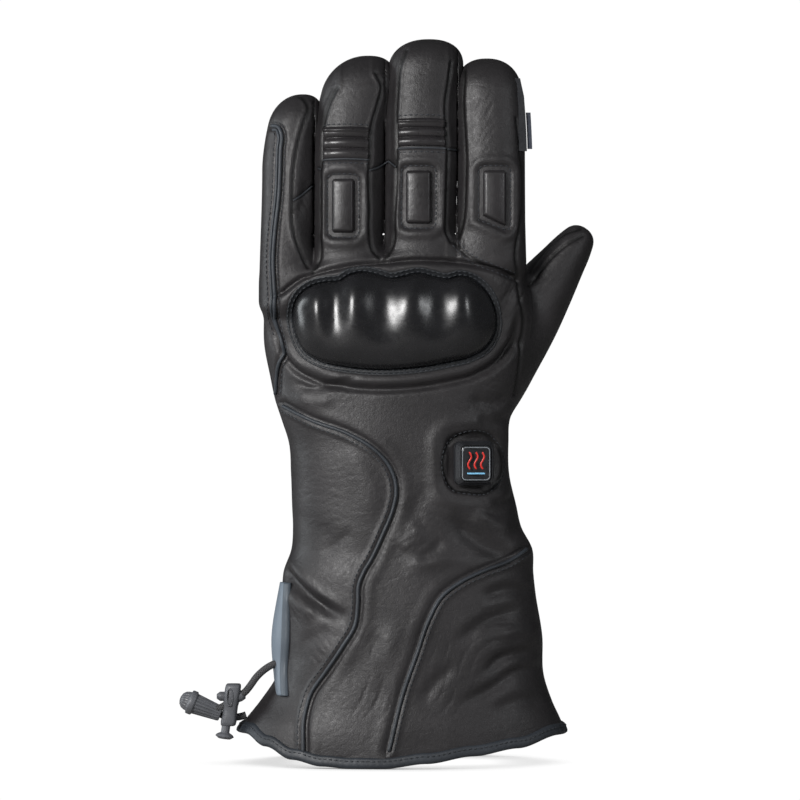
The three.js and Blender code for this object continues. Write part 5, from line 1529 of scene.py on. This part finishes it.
class GLOVE_OT_fittings(bpy.types.Operator):
    """Finishes of the button, tab, cord fittings and wiper"""
    bl_idname = "glove.fittings"
    bl_label = "Fittings"

    def execute(self, context):
        grey = plain_material("moulded_grey", (0.10, 0.104, 0.114), 0.4, 0.15)
        black = plain_material("moulded_black", (0.02, 0.021, 0.024), 0.3, 0.08)
        pale = plain_material("blade_rubber", (0.03, 0.036, 0.052), 0.4, 0.1)
        repaint("cord_lock_plunger", grey)
        for name in ("heat_button_housing", "heat_button_face", "wiper_strip"):
            repaint(name, black)
        repaint("wiper_blade", pale)
        self.tab()
        self.lock(grey)
        self.bell(grey)
        self.button_mark()
        return {"FINISHED"}

    def tab(self):
        """A strip whose two edges follow smooth lines, with a raised border along the front one."""
        z = np.linspace(32.6, 84.6, 70)
        left = np.interp(z, [32.6, 39.5, 55.8, 65.1, 84.6], [-53.9, -54.9, -56.5, -55.8, -52.1])
        right = np.interp(z, [31.2, 44.2, 58.1, 83.7], [-48.8, -49.3, -48.1, -47.9])
        for _ in range(30):
            left[1:-1] = (left[:-2] + left[2:]) / 2
            right[1:-1] = (right[:-2] + right[2:]) / 2
        near = lay(right, z, 0.5)[0][:, :2]
        near[:, 0] = right
        far = np.column_stack([left, near[:, 1] + 9.0])
        way = (near - far) / np.linalg.norm(near - far, axis=1)[:, None]
        out = np.column_stack([way[:, 1], -way[:, 0]])
        share = np.concatenate([np.linspace(0.0, 0.7, 12), np.linspace(0.74, 1.0, 8)])
        border = smoothstep(share, 0.7, 0.75) * (1.0 - smoothstep(share, 0.97, 1.0))
        bulge = 0.75 + 1.3 * np.sin(np.pi * share) + 0.5 * border - 0.5 * smoothstep(share, 0.9, 1.0) ** 2
        places = np.concatenate([share, share[::-1]])
        rise = np.concatenate([bulge, np.full(len(share), -0.7)])
        flat = far[:, None] + (near - far)[:, None] * places[None, :, None]
        flat = flat + out[:, None] * rise[None, :, None]
        rings = np.concatenate([flat, np.broadcast_to(z[:, None, None], flat.shape[:2] + (1,))], axis=2)
        ends = [ring.mean(axis=0) + (ring - ring.mean(axis=0)) * [0.02, 0.02, 1.0] for ring in rings[[0, -1]]]
        rings = np.concatenate([ends[0][None], rings, ends[1][None]])
        faces = grid_faces(len(rings), len(places), wrap=True)
        material, tree, shader = new_material("tab_rubber")
        colour = tuple(colours().tab)
        across = node(tree, "ShaderNodeAttribute", attribute_name="border").outputs["Fac"]
        tint = ramp(tree, across, [(0.0, colour), (1.0, tuple(0.45 * c for c in colour))])
        tree.links.new(tint, shader.inputs["Base Color"])
        shader.inputs["Roughness"].default_value = 0.5
        place = node(tree, "ShaderNodeTexCoord").outputs["Object"]
        tree.links.new(bump(tree, noise(tree, place, 1500.0, 2.0), 0.2, 0.0002), shader.inputs["Normal"])
        obj = add_mesh("side_tab_strip", rings, faces, material, "tab_rubber")
        edge = np.concatenate([smoothstep(share, 0.68, 0.72), smoothstep(share[::-1], 0.68, 0.72)])
        add_value(obj, "border", np.tile(edge, len(rings)))
        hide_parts("side_tab")

    def lock(self, grey):
        """Barrel with rounded edges, an oval slot shown as a painted shadow disc inside a raised rim, and
        collars where the cord passes.
        """
        turn = np.linspace(0.0, 2 * np.pi, 40, endpoint=False)
        c, s = np.cos(turn), np.sin(turn)
        # Height, and share of the full width.
        rows = [
            (17.9, 0.02), (17.9, 0.82), (18.4, 0.95), (20.0, 1.0), (24.0, 0.93), (27.0, 0.93), (28.2, 1.0),
            (35.6, 1.0), (36.8, 0.95), (37.3, 0.84), (37.3, 0.02),
        ]
        rings = [np.column_stack([
            -75.6 + 0.13 * (z - 27.5) + 3.7 * share * signed_power(c, 0.55),
            -9.6 + 5.4 * share * signed_power(s, 0.55), np.full(len(turn), z),
        ]) for z, share in rows]
        body = (np.concatenate(rings), grid_faces(len(rings), len(turn), wrap=True))
        slot = np.linspace(0.0, 2 * np.pi, 41)
        loop = np.column_stack([
            -76.0 + 1.35 * signed_power(np.cos(slot), 0.8), np.full(len(slot), -15.05),
            31.4 + 3.9 * np.sin(slot),
        ])
        parts = [body, tube_mesh(loop, FRONT, 0.42)]
        for x, z, size, reach in ((-79.6, 31.6, 2.2, -2.0), (-71.6, 31.8, 2.6, 2.2), (-71.9, 31.8, 2.9, 1.2)):
            across = np.linspace(x - reach / 2, x + reach / 2, 6)
            path = np.column_stack([across, np.full(6, -10.6), np.full(6, z)])
            parts.append(tube_mesh(path, FRONT, size, 20))
        obj = add_mesh("cord_lock_barrel", *join_parts(parts), grey, "grey_plastic")
        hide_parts("cord_lock_body")
        # Painted shadow: a near-black disc inside the rim stands in for the shade in the slot.
        spokes = (loop - [-76.0, -15.05, 31.4])[None, :-1]
        disc = [-76.0, -14.95, 31.4] + spokes * np.array([0.02, 0.95])[:, None, None]
        dark = plain_material("slot_shadow", (0.004, 0.004, 0.0045), 0.8, 0.05)
        add_mesh("cord_lock_slot_shadow", disc, grid_faces(2, 40, wrap=True), dark, "grey_plastic")

    def bell(self, grey):
        """A turned body along the cord's end: fluted skirt, collar and dome."""
        mouth, tip = np.array([-80.2, -10.3, 23.4]), np.array([-99.4, -10.3, 30.9])
        axis = (tip - mouth) / np.linalg.norm(tip - mouth)
        up = np.cross(axis, FRONT)
        # Way along, radius, and how deep the flutes are there.
        rows = [
            (2.0, 0.02, 0), (2.0, 1.9, 0), (0.1, 2.5, 0), (0.0, 2.9, 0), (0.4, 3.3, 0.5), (1.2, 3.45, 1),
            (6.0, 3.9, 1), (12.0, 4.45, 1), (12.6, 4.5, 0.4), (13.0, 4.6, 0), (13.2, 5.1, 0),
            (13.6, 5.3, 0), (15.4, 5.3, 0), (15.9, 5.1, 0), (16.1, 4.3, 0), (17.2, 4.1, 0.6), (18.6, 3.6, 0.6),
            (19.8, 2.4, 0), (20.3, 1.0, 0), (20.4, 0.02, 0),
        ]
        turn = np.linspace(0.0, 2 * np.pi, 128, endpoint=False)
        groove = np.maximum(0.0, np.cos(turn * 16)) ** 2
        rings = [
            mouth + axis * along + (FRONT * np.cos(turn)[:, None] + up * np.sin(turn)[:, None])
            * (1.07 * radius * (1.0 - 0.17 * flute * groove))[:, None] for along, radius, flute in rows
        ]
        faces = grid_faces(len(rings), len(turn), wrap=True)
        obj = add_mesh("cord_end_bell_fluted", np.concatenate(rings), faces, grey, "grey_plastic")
        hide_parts("cord_end_bell")

    def button_mark(self):
        """A thin pale line round the button's face, three warm waves for heat and a pale bar under them."""
        low, high = [np.array(corner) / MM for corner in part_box("heat_button_face")]
        middle, half = (low + high) / 2, (high - low) / 2
        level = low[1] - 0.02
        outline = rounded_box(middle[0], middle[2], 2 * half[0] - 1.6, 2 * half[2] - 1.6, 1.6)
        marks = [("outline", outline, 0.22, (0.2, 0.22, 0.24))]
        t = np.linspace(-1.0, 1.0, 30)
        for number in (-1, 0, 1):
            across = middle[0] + number * half[0] * 0.42 + 0.75 * np.sin(t * np.pi)
            wave = np.column_stack([across, middle[2] + 1.4 + t * half[2] * 0.45])
            marks.append((f"wave_{number + 2}", wave, 0.42, (0.6, 0.02, 0.012)))
        bar = np.column_stack([middle[0] + t * half[0] * 0.55, np.full(30, middle[2] - half[2] * 0.55)])
        marks.append(("bar", bar, 0.42, (0.2, 0.5, 0.75)))
        for name, line, radius, colour in marks:
            path = np.column_stack([line[:, 0], np.full(len(line), level), line[:, 1]]) - FRAME_SHIFT
            mesh = tube_mesh(path, FRONT, radius, flat=0.4)
            material = plain_material("button_" + name, colour, 0.4, 0.05)
            obj = add_mesh("button_" + name, *mesh, material, "button_cap")
            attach(obj, "heat_button")


class GLOVE_PT_panel(bpy.types.Panel):
    """Lists the glove's builders in the sidebar"""
    bl_idname = "GLOVE_PT_panel"
    bl_label = "Heated Glove"
    bl_space_type = "VIEW_3D"
    bl_region_type = "UI"
    bl_category = "Glove"

    def draw(self, context):
        for group in (context.scene.glove_sizes, context.scene.glove_colours):
            for key in group.bl_rna.properties.keys():
                if key not in ("rna_type", "name"):
                    self.layout.prop(group, key)
        for operator in OPERATORS:
            self.layout.operator(operator.bl_idname)


OPERATORS = (
    GLOVE_OT_stage, GLOVE_OT_cords, GLOVE_OT_leather, GLOVE_OT_lining, GLOVE_OT_guard, GLOVE_OT_finger_pads,
    GLOVE_OT_finger_ribs, GLOVE_OT_piping, GLOVE_OT_seam_stitches, GLOVE_OT_binding, GLOVE_OT_fittings,
)


def register():
    for made in (GloveSizes, GloveColours, *OPERATORS, GLOVE_PT_panel):
        bpy.utils.register_class(made)
    bpy.types.Scene.glove_sizes = bpy.props.PointerProperty(type=GloveSizes)
    bpy.types.Scene.glove_colours = bpy.props.PointerProperty(type=GloveColours)


def unregister():
    del bpy.types.Scene.glove_colours
    del bpy.types.Scene.glove_sizes
    for made in reversed((GloveSizes, GloveColours, *OPERATORS, GLOVE_PT_panel)):
        bpy.utils.unregister_class(made)


def main():
    """Runs each builder in turn."""
    register()
    for operator in OPERATORS:
        group, name = operator.bl_idname.split(".")
        getattr(getattr(bpy.ops, group), name)()


if __name__ == "__main__":
    main()
